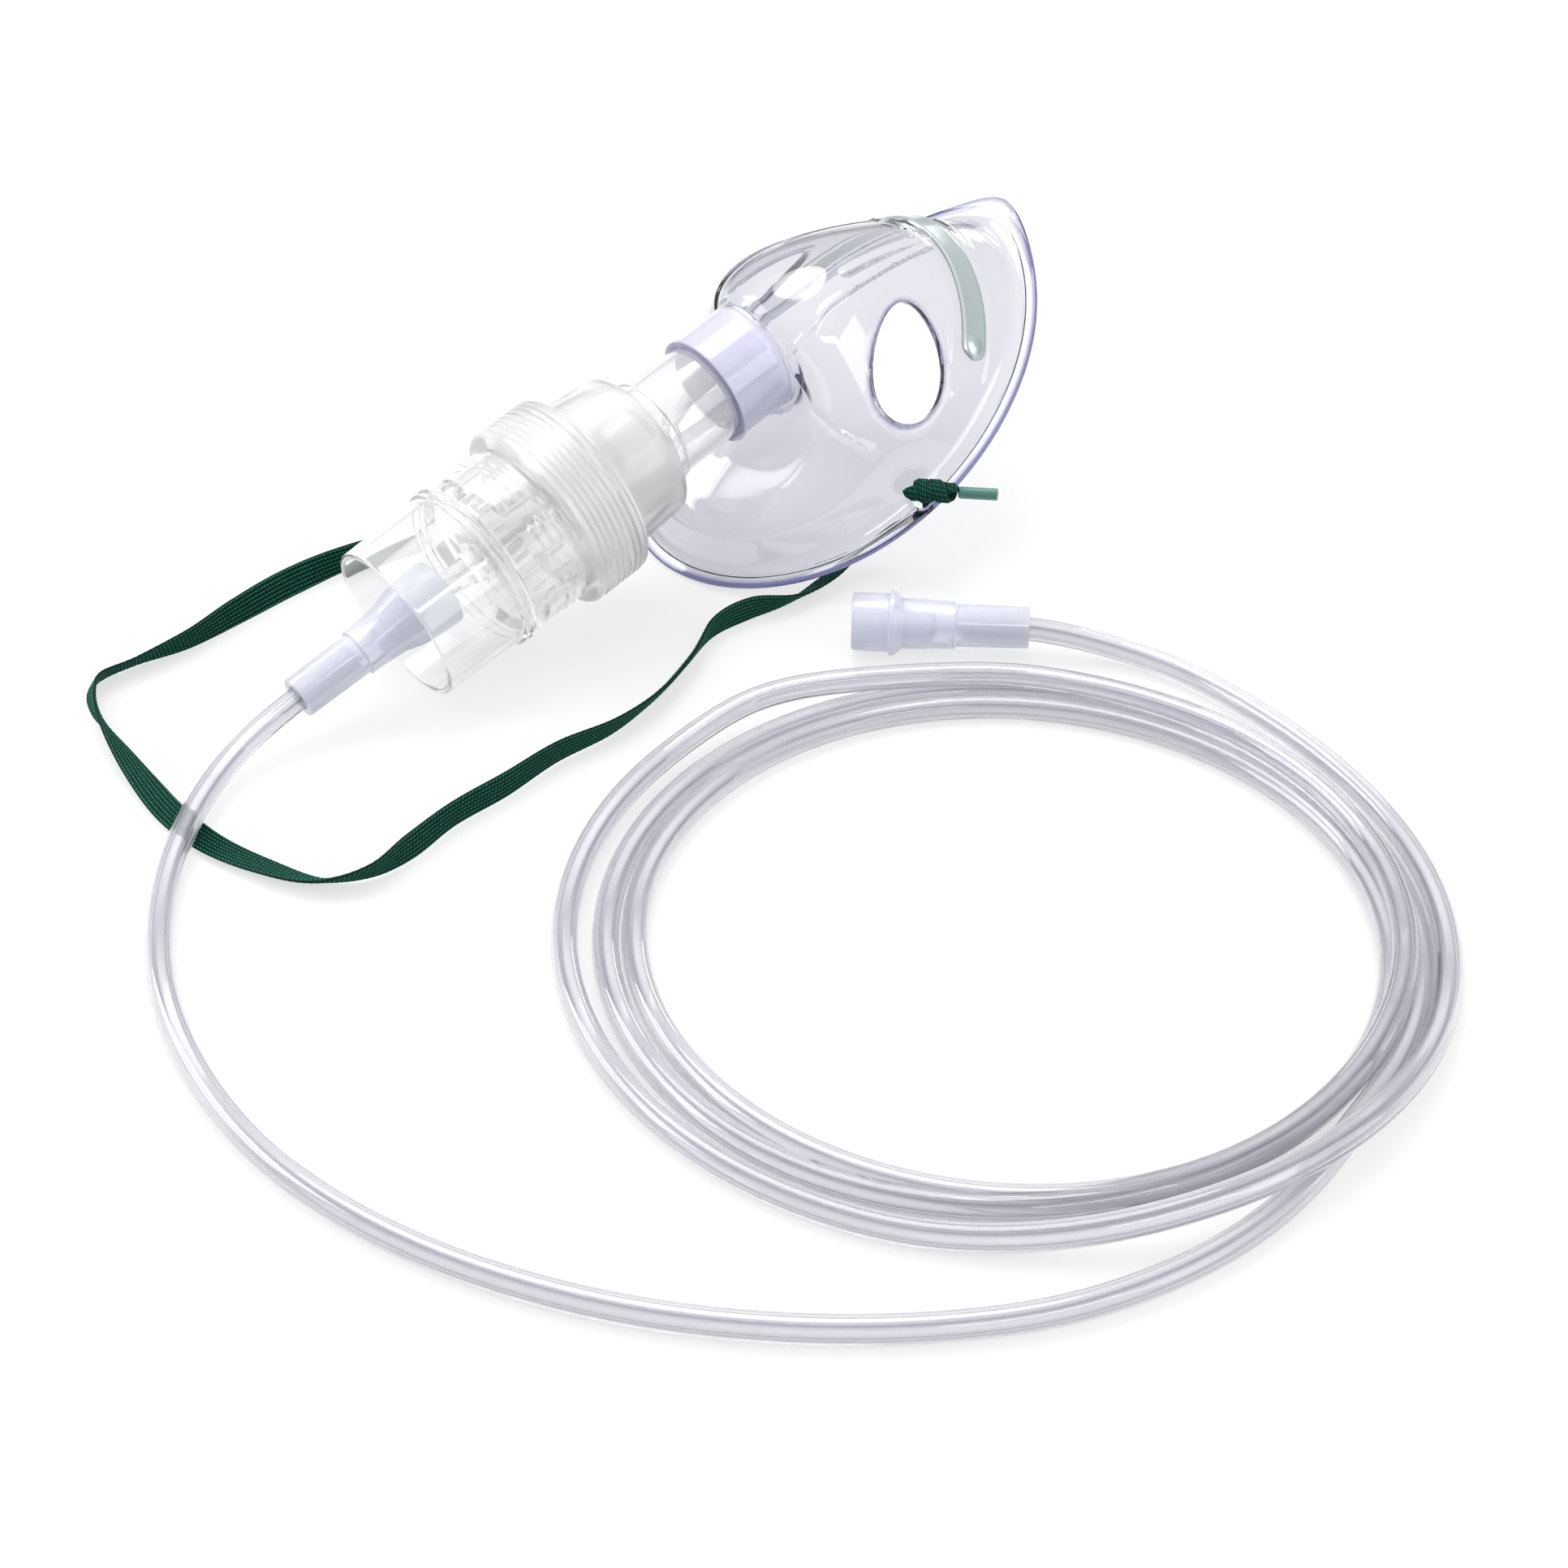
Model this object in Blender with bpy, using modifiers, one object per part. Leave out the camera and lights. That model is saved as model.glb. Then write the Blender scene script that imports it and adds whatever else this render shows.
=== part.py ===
"""Nebuliser oxygen mask set: soft face mask, jet nebuliser, tubing with two connectors, head strap.

Metres, +Z up. The mask and the nebuliser lie in one upright plane, Y = 0, with the nose towards +X.
"""
import math

import bmesh
import bpy
import numpy as np
from mathutils import Matrix, Vector

MM = 0.001

# Clearance between pieces that touch
GAP = 0.3 * MM

# How the set lies on the table
JAR_TILT = math.radians(16)
FACE_TILT = math.radians(28)
JAR_MOUTH = Vector((-88.7 * MM, 0, 17.88 * MM))
FACE_CENTRE = Vector((39.9 * MM, 0, 29.513 * MM))

# Mask body, in its own frame: X across, Y to the nose, Z to the front
MASK_LENGTH = 121 * MM
MASK_WIDTH = 85 * MM
RIM_PEAR = 0.12
RIM_SWEEP = 5.5 * MM
NOSE_RISE = 3.4 * MM
NOSE_STRETCH = 1.4 * MM
NOSE_SPREAD = 0.42
NOSE_PINCH = 0.25
NOSE_FLARE = 0.5
FLANGE_WIDTH = 5.5 * MM
FLANGE_RISE = 2.2 * MM
MASK_WALL = 1.3 * MM
PANEL_DENT = 2.4 * MM
RIDGE_REACH = 30.5 * MM
CHEEK_REACH = 20 * MM
CHIN_REACH = 15 * MM
MASK_SPOKES = 44
MASK_RINGS = 9

# Round port of the mask
PORT_BORE = 11.4 * MM
PORT_WALL = 1.7 * MM
PORT_LENGTH = 16.5 * MM
PORT_LIP = 0.5 * MM
PORT_STATION = 107.5 * MM

# Vent holes and tie holes
VENT_LENGTH = 28.5 * MM
VENT_WIDTH = 19.5 * MM
VENT_SPOKE = math.radians(73)
VENT_RING = 0.385
VENT_TOP = (math.radians(52), 0.41)
TIE_HOLE = 2.0 * MM
TIE_SPOKE = math.radians(103)

# Nose clip
CLIP_WIDTH = 7.0 * MM
CLIP_THICKNESS = 0.8 * MM
CLIP_SPOKE = math.radians(66)
CLIP_RING = 0.245
CLIP_SLOPE = 0.15
CLIP_STEPS = 30

# Jar: stations run from the skirt's mouth towards the mask
JAR_SKIRT_RADIUS = 18.6 * MM
JAR_BODY_RADIUS = 19.5 * MM
JAR_WALL = 1.4 * MM
JAR_FLOOR = 22.5 * MM
JAR_FLOOR_THICKNESS = 1.6 * MM
JAR_BEAD = 0.6 * MM
JAR_SHOULDER = 39 * MM
NECK_RADIUS = 18.5 * MM
NECK_END = 52 * MM
NIPPLE_RADIUS = 3.1 * MM
NIPPLE_END = 5.0 * MM
NIPPLE_BORE = 1.4 * MM
JET_RADIUS = 2.2 * MM
JET_BORE = 0.9 * MM
JET_END = 38 * MM

# Baffle cone over the jet
CONE_WALL = 1.0 * MM
CONE_TOP = 42.5 * MM
CONE_FIN_REACH = 11 * MM
CONE_FIN_THICKNESS = 1.2 * MM
CONE_FINS = 4

# Cap with its ridged screw skirt
CAP_RING_RADIUS = 22.7 * MM
CAP_RING_START = 39.6 * MM
CAP_RING_END = 54.5 * MM
CAP_WALL = 1.6 * MM
CAP_RIDGES = 7
CAP_RIDGE_DEPTH = 0.45 * MM
DOME_RADIUS = 18.5 * MM
DOME_TOP_RADIUS = 17.8 * MM
DOME_END = 71 * MM
DOME_ROUND = 2.4 * MM
SOCKET_DEPTH = 11 * MM

# Adapter between cap and port
ADAPTER_RADIUS = 12.1 * MM
ADAPTER_LIP = 0.5 * MM
ADAPTER_LIP_LENGTH = 4 * MM
ADAPTER_WALL = 1.3 * MM
ADAPTER_PLUG = 14 * MM

# Tubing and connectors
TUBE_DIAMETER = 5.4 * MM
TUBE_SPACING = 2.1 * TUBE_DIAMETER
SLEEVE_RADIUS = 4.7 * MM
SLEEVE_DEPTH = 15 * MM
JAR_BELL_RADIUS = 8.0 * MM
JAR_BELL_STATION = 12.5 * MM
WALL_BELL_RADIUS = 6.5 * MM
WALL_RIDGE = 0.9 * MM
CONNECTOR_LENGTH = 39.5 * MM
CONNECTOR_NECK = 23 * MM
CONNECTOR_MOUTH_WALL = 1.5 * MM
CONNECTOR_SHOULDER = 8.4 * MM
CONNECTOR_BORE_END = 19 * MM
CONNECTOR_BORE_START = 9 * MM
WALL_CONNECTOR_END = Vector((25.5 * MM, -80.5 * MM, 7.6 * MM))
WALL_CONNECTOR_HEADING = math.radians(135.4)

# Coil of tubing
COIL_CENTRE = Vector((-45.6 * MM, -146.5 * MM, 0))
COIL_INNER = 70 * MM
COIL_OUTER = 90.5 * MM
COIL_HEIGHT = 11 * MM

# Head strap
STRAP_WIDTH = 6.6 * MM
STRAP_THICKNESS = 0.9 * MM
STRAP_GATHER = 0.34
STRAP_ABOVE_HOLE = 3.4 * MM
STRAP_BELOW_HOLE = 3 * MM
STRAP_SPACING = 6.3 * MM
KNOT_LENGTH = 13 * MM
KNOT_RADIUS = 3.4 * MM
TIP_RADIUS = 1.4 * MM
TIP_LENGTH = 9 * MM

TURN_STEPS = 32

COLOURS = {
    "clear_pvc": ((0.80, 0.80, 0.90, 1), 0.08),
    "lilac_pvc": ((0.62, 0.62, 0.82, 1), 0.22),
    "frosted": ((0.86, 0.88, 0.88, 1), 0.35),
    "clear_plastic": ((0.88, 0.89, 0.90, 1), 0.05),
    "green_elastic": ((0.01, 0.10, 0.06, 1), 0.85),
    "aluminium": ((0.62, 0.66, 0.65, 1), 0.35),
}


def clear_scene():
    for old in list(bpy.data.objects):
        bpy.data.objects.remove(old)


def make_collection(name):
    made = bpy.data.collections.new(name)
    bpy.context.scene.collection.children.link(made)
    return made


def finish_material(name):
    colour, roughness = COLOURS[name]
    material = bpy.data.materials.get(name) or bpy.data.materials.new(name)
    material.use_nodes = True
    shader = material.node_tree.nodes["Principled BSDF"]
    shader.inputs["Base Color"].default_value = colour
    shader.inputs["Roughness"].default_value = roughness
    shader.inputs["Metallic"].default_value = 1.0 if name == "aluminium" else 0.0
    return material


def add_object(name, data, collection, material=None, parent=None):
    obj = bpy.data.objects.new(name, data)
    collection.objects.link(obj)
    obj.parent = parent
    if material:
        obj.data.materials.append(finish_material(material))
    return obj


def add_frame(name, place, turn, collection):
    """An empty that pieces are placed from."""
    empty = add_object(name, None, collection)
    empty.location = place
    empty.rotation_euler = turn.to_euler()
    return empty


def shade(mesh, angle=40):
    mesh.shade_smooth()
    mesh.set_sharp_from_angle(angle=math.radians(angle))


def turned(name, outline, collection, material, parent, steps=TURN_STEPS):
    """A closed outline of (radius, station) points, swept round the parent's Z axis."""
    pairs = list(outline)
    twice_area = sum(a[0] * b[1] - b[0] * a[1] for a, b in zip(pairs, pairs[1:] + pairs[:1]))
    if twice_area > 0:
        pairs.reverse()
    mesh = bpy.data.meshes.new(name)
    count = len(pairs)
    edges = [(i, (i + 1) % count) for i in range(count)]
    mesh.from_pydata([(r, 0, s) for r, s in pairs], edges, [])
    obj = add_object(name, mesh, collection, material, parent)
    screw = obj.modifiers.new("turn", "SCREW")
    screw.steps = steps
    screw.render_steps = steps
    screw.use_merge_vertices = True
    screw.merge_threshold = 1e-6
    screw.use_smooth_shade = True
    return obj


def hide_cutter(obj):
    obj.hide_render = True
    obj.display_type = "WIRE"


def boolean(obj, other, operation):
    step = obj.modifiers.new(other.name, "BOOLEAN")
    step.operation = operation
    step.object = other
    step.solver = "EXACT"


# Mask body

PORT_AXIS = FACE_TILT - JAR_TILT
PORT_IN = Vector((0, math.cos(PORT_AXIS), -math.sin(PORT_AXIS)))
PORT_UP = Vector((0, math.sin(PORT_AXIS), math.cos(PORT_AXIS)))
ACROSS = Vector((1, 0, 0))


def face_rotation():
    """Columns: across (towards the viewer's side), to the nose, to the front."""
    nose = Vector((math.cos(FACE_TILT), 0, math.sin(FACE_TILT)))
    front = Vector((-math.sin(FACE_TILT), 0, math.cos(FACE_TILT)))
    return Matrix((nose.cross(front), nose, front)).transposed()


def jar_axis():
    return Vector((math.cos(JAR_TILT), 0, math.sin(JAR_TILT)))


def port_centre():
    """End of the port at the mask's wall, in the mask's frame."""
    world = JAR_MOUTH + jar_axis() * PORT_STATION
    return face_rotation().inverted() @ (world - FACE_CENTRE)


def nose_share(t, spread):
    """1 at the nose, falling away on both sides."""
    angle = math.atan2(math.sin(t), math.cos(t))
    return math.exp(-((angle / spread) ** 2))


def rim_point(t):
    """Outer edge of the flange, from the nose at 0 to the chin at pi."""
    y = MASK_LENGTH / 2 * math.cos(t) + NOSE_STRETCH * nose_share(t, NOSE_SPREAD)
    x = MASK_WIDTH / 2 * math.sin(t) * (1 - RIM_PEAR * math.cos(t))
    x *= 1 - NOSE_PINCH * nose_share(t, 1.4 * NOSE_SPREAD)
    return Vector((x, y, NOSE_RISE * nose_share(t, NOSE_SPREAD) - RIM_SWEEP * math.sin(t) ** 2))


def outward(t):
    point = rim_point(t)
    flat = Vector((point.x, point.y * 0.8, 0))
    return flat.normalized()


def flange_point(t, share):
    """Top of the flange, from its edge at 0 to the wall's foot at 1."""
    nose = nose_share(t, NOSE_SPREAD)
    width = FLANGE_WIDTH * (1 + NOSE_FLARE * nose)
    return rim_point(t) - outward(t) * width * share - Vector((0, 0, NOSE_RISE * nose * share))


def wall_foot(t):
    return flange_point(t, 1) + Vector((0, 0, FLANGE_RISE))


def port_circle(t, radius):
    return port_centre() + (PORT_UP * math.cos(t) + ACROSS * math.sin(t)) * radius


def mask_point(t, v):
    """Outer face of the wall, from the flange's foot at v = 0 to the port at v = 1."""
    nose = max(0.0, math.cos(t))
    chin = max(0.0, -math.cos(t))
    side = abs(math.sin(t))
    start = wall_foot(t)
    end = port_circle(t, PORT_BORE + PORT_WALL)
    lean = 0.32 + 0.55 * nose ** 2 + 0.15 * chin
    rise = (-outward(t) * lean + Vector((0, 0, 1))).normalized()
    reach = CHEEK_REACH * side**2 + RIDGE_REACH * nose**2 + CHIN_REACH * chin**2
    radial = PORT_UP * math.cos(t) + ACROSS * math.sin(t)
    flare = 0.42 * nose ** 2 + 1.0 * side ** 2 + 0.6 * chin ** 2
    leave = (PORT_IN * math.cos(t) * 0.92 + radial * flare).normalized()
    length = (22 * nose ** 2 + 16 * side ** 2 + 16 * chin ** 2) * MM
    near_rim = start + rise * reach
    near_port = end + leave * length
    w = 1 - v
    point = start * w**3 + near_rim * 3 * w * w * v + near_port * 3 * w * v * v + end * v**3
    angle = abs(math.atan2(math.sin(t), math.cos(t)))
    dent = math.exp(-(((angle - 1.05) / 0.42) ** 2)) * math.exp(-(((v - 0.45) / 0.24) ** 2))
    core = Vector((0, 5 * MM, 6 * MM))
    return point + (core - point).normalized() * PANEL_DENT * dent


def mask_normal(t, v):
    step = 0.004
    along = mask_point(t, min(v + step, 1)) - mask_point(t, max(v - step, 0))
    around = mask_point(t + step, v) - mask_point(t - step, v)
    normal = along.cross(around).normalized()
    away = mask_point(t, v) - Vector((0, 0, 4 * MM))
    return normal if normal.dot(away) > 0 else -normal


def loft(rings, closed=True):
    """Faces between rings of points that all have the same count."""
    made = bmesh.new()
    rows = [[made.verts.new(p) for p in ring] for ring in rings]
    count = len(rows[0])
    last = count if closed else count - 1
    for low, high in zip(rows, rows[1:]):
        for i in range(last):
            j = (i + 1) % count
            made.faces.new((low[i], low[j], high[j], high[i]))
    return made


def mask_rings():
    spokes = [2 * math.pi * i / MASK_SPOKES for i in range(MASK_SPOKES)]
    rings = [[rim_point(t) for t in spokes]]
    rings.append([flange_point(t, 0.6) + Vector((0, 0, 0.2 * MM)) for t in spokes])
    for k in range(MASK_RINGS + 1):
        v = k / MASK_RINGS
        rings.append([mask_point(t, v) for t in spokes])
    for along, extra in ((0.08, 0.0), (0.93, 0.0), (0.95, PORT_LIP), (1.0, PORT_LIP)):
        shift = -PORT_IN * PORT_LENGTH * along
        rings.append([port_circle(t, PORT_BORE + PORT_WALL + extra) + shift for t in spokes])
    return rings


def egg_cutter(name, side, collection, parent):
    """Egg-shaped prism through the cheek panel, narrow end towards the nose."""
    t = VENT_SPOKE * side
    centre = mask_point(t, VENT_RING)
    normal = mask_normal(t, VENT_RING)
    top = mask_point(VENT_TOP[0] * side, VENT_TOP[1]) - centre
    long_way = (top - normal * top.dot(normal)).normalized()
    wide_way = normal.cross(long_way)
    count = 28
    outline = []
    for i in range(count):
        a = 2 * math.pi * i / count
        width = VENT_WIDTH / 2 * (1 - 0.16 * math.cos(a))
        outline.append(long_way * math.cos(a) * VENT_LENGTH / 2 + wide_way * math.sin(a) * width)
    made = loft([[centre + p + normal * d for p in outline] for d in (-9 * MM, 9 * MM)])
    return cutter_from(made, name, collection, parent)


def cutter_from(made, name, collection, parent):
    bmesh.ops.holes_fill(made, edges=made.edges, sides=0)
    bmesh.ops.recalc_face_normals(made, faces=made.faces)
    mesh = bpy.data.meshes.new(name)
    made.to_mesh(mesh)
    made.free()
    obj = add_object(name, mesh, collection, None, parent)
    hide_cutter(obj)
    return obj


def tie_place(side):
    """Centre of a tie hole in the flange, in the mask's frame."""
    t = TIE_SPOKE * side
    return rim_point(t) - outward(t) * FLANGE_WIDTH * 0.62


def tie_cutter(name, side, collection, parent):
    made = bmesh.new()
    bmesh.ops.create_cone(
        made, cap_ends=True, segments=16, radius1=TIE_HOLE, radius2=TIE_HOLE, depth=12 * MM
    )
    bmesh.ops.translate(made, verts=made.verts, vec=tie_place(side))
    return cutter_from(made, name, collection, parent)


def build_mask(parts, cutters, face):
    made = loft(mask_rings())
    bmesh.ops.recalc_face_normals(made, faces=made.faces)
    if made.calc_volume(signed=True) < 0:
        bmesh.ops.reverse_faces(made, faces=made.faces)
    mesh = bpy.data.meshes.new("mask_shell")
    made.to_mesh(mesh)
    made.free()
    shade(mesh)
    shell = add_object("mask_shell", mesh, parts, "clear_pvc", face)
    wall = shell.modifiers.new("wall", "SOLIDIFY")
    wall.thickness = MASK_WALL
    wall.offset = -1
    wall.use_even_offset = True
    for label, side in (("near", 1), ("far", -1)):
        boolean(shell, egg_cutter("vent_cut_" + label, side, cutters, face), "DIFFERENCE")
        boolean(shell, tie_cutter("tie_cut_" + label, side, cutters, face), "DIFFERENCE")
    return shell


def clip_ring(t):
    """Ring share of the clip's middle: nearer the rim at its ends."""
    return CLIP_RING - CLIP_SLOPE * (math.hypot(t, 0.4) - 0.4)


def build_nose_clip(parts, face):
    """A strip that follows the wall over the nose ridge, with round ends."""
    half = CLIP_WIDTH / 2
    span = [CLIP_SPOKE * (2 * i / CLIP_STEPS - 1) for i in range(CLIP_STEPS + 1)]
    middle = [mask_point(t, clip_ring(t)) for t in span]
    steps = [0.0] + [(b - a).length for a, b in zip(middle, middle[1:])]
    walked = list(np.cumsum(steps))
    total = walked[-1]
    rows = []
    for t, run in zip(span, walked):
        from_end = min(run, total - run)
        inset = max(0.0, half - from_end)
        reach = max(math.sqrt(max(half * half - inset * inset, 0.0)), 0.25 * half)
        ring = clip_ring(t)
        along = (mask_point(t, ring + 0.03) - mask_point(t, ring - 0.03)).length / 0.06
        row = []
        for share in (-1, -0.5, 0, 0.5, 1):
            v = ring + share * reach / along
            row.append(mask_point(t, v) + mask_normal(t, v) * GAP)
        rows.append(row)
    made = loft(rows, closed=False)
    bmesh.ops.recalc_face_normals(made, faces=made.faces)
    ridge = max(made.faces, key=lambda f: f.calc_center_median().z)
    if ridge.normal.z < 0:
        bmesh.ops.reverse_faces(made, faces=made.faces)
    mesh = bpy.data.meshes.new("nose_clip")
    made.to_mesh(mesh)
    made.free()
    shade(mesh)
    clip = add_object("nose_clip", mesh, parts, "aluminium", face)
    wall = clip.modifiers.new("gauge", "SOLIDIFY")
    wall.thickness = CLIP_THICKNESS
    wall.offset = 1
    return clip


# Nebuliser

def jar_outline():
    skirt_in = JAR_SKIRT_RADIUS - JAR_WALL
    floor_top = JAR_FLOOR + JAR_FLOOR_THICKNESS
    body_in = JAR_BODY_RADIUS - JAR_WALL
    return [
        (JAR_SKIRT_RADIUS, 0),
        (JAR_BODY_RADIUS - 0.2 * MM, JAR_FLOOR - 1.6 * MM),
        (JAR_BODY_RADIUS + JAR_BEAD, JAR_FLOOR - 1.0 * MM),
        (JAR_BODY_RADIUS + JAR_BEAD, JAR_FLOOR),
        (JAR_BODY_RADIUS - 0.1 * MM, JAR_FLOOR + 0.6 * MM),
        (JAR_BODY_RADIUS, JAR_SHOULDER - 1 * MM),
        (NECK_RADIUS, JAR_SHOULDER),
        (NECK_RADIUS, NECK_END),
        (NECK_RADIUS - JAR_WALL, NECK_END),
        (body_in - 0.8 * MM, JAR_SHOULDER - 4 * MM),
        (body_in - 1.0 * MM, floor_top + 4.5 * MM),
        (body_in - 4.0 * MM, floor_top + 1.6 * MM),
        (JET_RADIUS + 3.0 * MM, floor_top),
        (JET_RADIUS + 1.2 * MM, floor_top + 1.5 * MM),
        (JET_RADIUS, JET_END),
        (JET_BORE, JET_END),
        (JET_BORE, JAR_FLOOR - 1 * MM),
        (NIPPLE_BORE, JAR_FLOOR - 4 * MM),
        (NIPPLE_BORE, NIPPLE_END),
        (NIPPLE_RADIUS - 0.4 * MM, NIPPLE_END),
        (NIPPLE_RADIUS, JAR_FLOOR - 3 * MM),
        (NIPPLE_RADIUS + 1.2 * MM, JAR_FLOOR),
        (skirt_in + 0.6 * MM, JAR_FLOOR),
        (skirt_in, 0),
    ]


def cap_outline():
    """Screw skirt with round ridges, shoulder, dome and the socket for the adapter."""
    ring_in = NECK_RADIUS + GAP
    ridge_start = CAP_RING_START + 2.6 * MM
    pitch = (CAP_RING_END - 2.0 * MM - ridge_start) / CAP_RIDGES
    outer = [(CAP_RING_RADIUS - 0.8 * MM, CAP_RING_START), (CAP_RING_RADIUS, CAP_RING_START + 0.8 * MM)]
    for i in range(CAP_RIDGES):
        start = ridge_start + i * pitch
        outer.append((CAP_RING_RADIUS - CAP_RIDGE_DEPTH, start))
        outer.append((CAP_RING_RADIUS, start + pitch * 0.5))
    outer.append((CAP_RING_RADIUS - 0.2 * MM, CAP_RING_END - 1.2 * MM))
    outer.append((CAP_RING_RADIUS - 1.6 * MM, CAP_RING_END))
    outer.append((DOME_RADIUS + 0.6 * MM, CAP_RING_END + 0.3 * MM))
    outer.append((DOME_RADIUS, CAP_RING_END + 0.9 * MM))
    outer.append((DOME_TOP_RADIUS, DOME_END - DOME_ROUND))
    outer.append((DOME_TOP_RADIUS - DOME_ROUND * 0.3, DOME_END - DOME_ROUND * 0.3))
    outer.append((DOME_TOP_RADIUS - DOME_ROUND, DOME_END))
    socket = ADAPTER_RADIUS - 0.6 * MM + GAP
    inner = [
        (socket, DOME_END),
        (socket, DOME_END - SOCKET_DEPTH),
        (socket + CAP_WALL, DOME_END - SOCKET_DEPTH),
        (socket + CAP_WALL, DOME_END - CAP_WALL - 1 * MM),
        (DOME_TOP_RADIUS - CAP_WALL - 1.2 * MM, DOME_END - CAP_WALL),
        (DOME_RADIUS - CAP_WALL, CAP_RING_END),
        (DOME_RADIUS - CAP_WALL, NECK_END + GAP),
        (ring_in, NECK_END + GAP),
        (ring_in, JAR_SHOULDER + 0.6 * MM),
        (ring_in + 1.2 * MM, CAP_RING_START),
    ]
    return outer + inner


def adapter_outline():
    """Tube with a flange against the cap and a plug that fills the mask's port."""
    flange = DOME_END + GAP
    tube_end = PORT_STATION - PORT_LENGTH - GAP
    plug_end = tube_end + ADAPTER_PLUG
    low = ADAPTER_RADIUS - 0.6 * MM
    plug = PORT_BORE - GAP
    bore = low - ADAPTER_WALL
    return [
        (low, DOME_END - SOCKET_DEPTH + 1 * MM),
        (low, flange),
        (ADAPTER_RADIUS + ADAPTER_LIP, flange),
        (ADAPTER_RADIUS + ADAPTER_LIP, flange + ADAPTER_LIP_LENGTH),
        (ADAPTER_RADIUS + 0.1 * MM, flange + ADAPTER_LIP_LENGTH + 0.3 * MM),
        (ADAPTER_RADIUS - 0.2 * MM, tube_end),
        (plug, tube_end),
        (plug - 0.3 * MM, plug_end),
        (bore - 0.2 * MM, plug_end),
        (bore, DOME_END - SOCKET_DEPTH + 1 * MM),
    ]


def cone_outline():
    """Hollow baffle cone that stands over the jet with a clearance."""
    foot = JAR_FLOOR + JAR_FLOOR_THICKNESS + 2.2 * MM
    return [
        (JET_RADIUS + 2.2 * MM + CONE_WALL, foot),
        (JET_RADIUS + 1.0 * MM + CONE_WALL, CONE_TOP - 3 * MM),
        (JET_RADIUS + 0.9 * MM + CONE_WALL, CONE_TOP),
        (JET_BORE + 0.6 * MM, CONE_TOP),
        (JET_BORE + 0.6 * MM, CONE_TOP - 1.6 * MM),
        (JET_RADIUS + 0.9 * MM, CONE_TOP - 3.2 * MM),
        (JET_RADIUS + 2.2 * MM, foot),
    ]


def build_jet_cone(parts, cutters, axis):
    """The cone and its upright fins, which stand on the bowl's sloping floor."""
    cone = turned("jet_cone", cone_outline(), parts, "clear_plastic", axis, 24)
    bowl_step = JAR_FLOOR + JAR_FLOOR_THICKNESS + 1.6 * MM
    low = bowl_step + GAP
    high = CONE_TOP - 6 * MM
    inner = JET_RADIUS + 2.4 * MM
    for i in range(CONE_FINS):
        fin = bmesh.new()
        bmesh.ops.create_cube(fin, size=1)
        size = (CONE_FIN_REACH - inner, CONE_FIN_THICKNESS, high - low)
        bmesh.ops.scale(fin, vec=size, verts=fin.verts)
        bmesh.ops.translate(fin, vec=((CONE_FIN_REACH + inner) / 2, 0, (low + high) / 2), verts=fin.verts)
        turn = Matrix.Rotation(2 * math.pi * (i + 0.5) / CONE_FINS, 3, "Z")
        bmesh.ops.rotate(fin, matrix=turn, cent=(0, 0, 0), verts=fin.verts)
        mesh = bpy.data.meshes.new("cone_fin")
        fin.to_mesh(mesh)
        fin.free()
        solid = add_object("cone_fin_" + str(i + 1), mesh, cutters, None, axis)
        hide_cutter(solid)
        boolean(cone, solid, "UNION")
    return cone


def connector_outline(bell, ridge):
    """Funnel connector from its bell mouth at 0 to its sleeve end, with a stop for the tube."""
    tube_bore = TUBE_DIAMETER / 2 + GAP
    stop = CONNECTOR_LENGTH - SLEEVE_DEPTH
    shoulder = CONNECTOR_SHOULDER
    outer = [(bell - 0.2 * MM, 0), (bell, 0.4 * MM)]
    if ridge:
        outer += [
            (bell + 0.1 * MM, shoulder - 0.3 * MM),
            (bell + ridge, shoulder),
            (bell + ridge, shoulder + 0.9 * MM),
            (SLEEVE_RADIUS + 1.1 * MM, shoulder + 3 * MM),
        ]
    else:
        outer += [(bell - 0.5 * MM, 6 * MM), (SLEEVE_RADIUS + 1.2 * MM, 14 * MM)]
    outer += [
        (SLEEVE_RADIUS + 0.6 * MM, CONNECTOR_NECK),
        (SLEEVE_RADIUS + 0.2 * MM, CONNECTOR_NECK + 0.3 * MM),
        (SLEEVE_RADIUS, CONNECTOR_LENGTH),
    ]
    nipple = NIPPLE_RADIUS + GAP
    inner = [
        (tube_bore, CONNECTOR_LENGTH),
        (tube_bore, stop),
        (NIPPLE_BORE, stop),
        (NIPPLE_BORE, CONNECTOR_BORE_END),
        (nipple - 0.2 * MM, CONNECTOR_BORE_END - 1 * MM),
        (nipple, CONNECTOR_BORE_START),
        (nipple + 0.6 * MM, CONNECTOR_BORE_START - 3 * MM),
        (bell - CONNECTOR_MOUTH_WALL, 0),
    ]
    return outer + inner


# Tubing

LEAD_ROUTE = (
    (-120.5, 0.9, 7.8),
    (-127.5, 0.2, 5.9),
    (-135.5, -3.0, 4.9),
    (-144.0, -8.6, 4.6),
    (-154.0, -16.4, 4.2),
    (-164.5, -27.0, 3.1),
    (-174.0, -40.0, 2.7),
    (-181.5, -54.0, 2.7),
    (-187.0, -70.5, 2.7),
    (-190.2, -88.5, 2.7),
    (-190.6, -106.5, 2.7),
    (-187.8, -125.0, 2.7),
    (-182.0, -143.5, 2.7),
    (-173.4, -161.5, 2.7),
    (-162.0, -179.0, 2.7),
    (-147.5, -195.5, 2.7),
    (-131.0, -210.0, 2.7),
    (-112.0, -222.5, 2.7),
    (-90.7, -228.5, 2.7),
)
TAIL_ROUTE = (
    (34.0, -89.4, 5.0),
    (38.0, -96.0, 3.4),
    (38.4, -104.9, 2.75),
)


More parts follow.
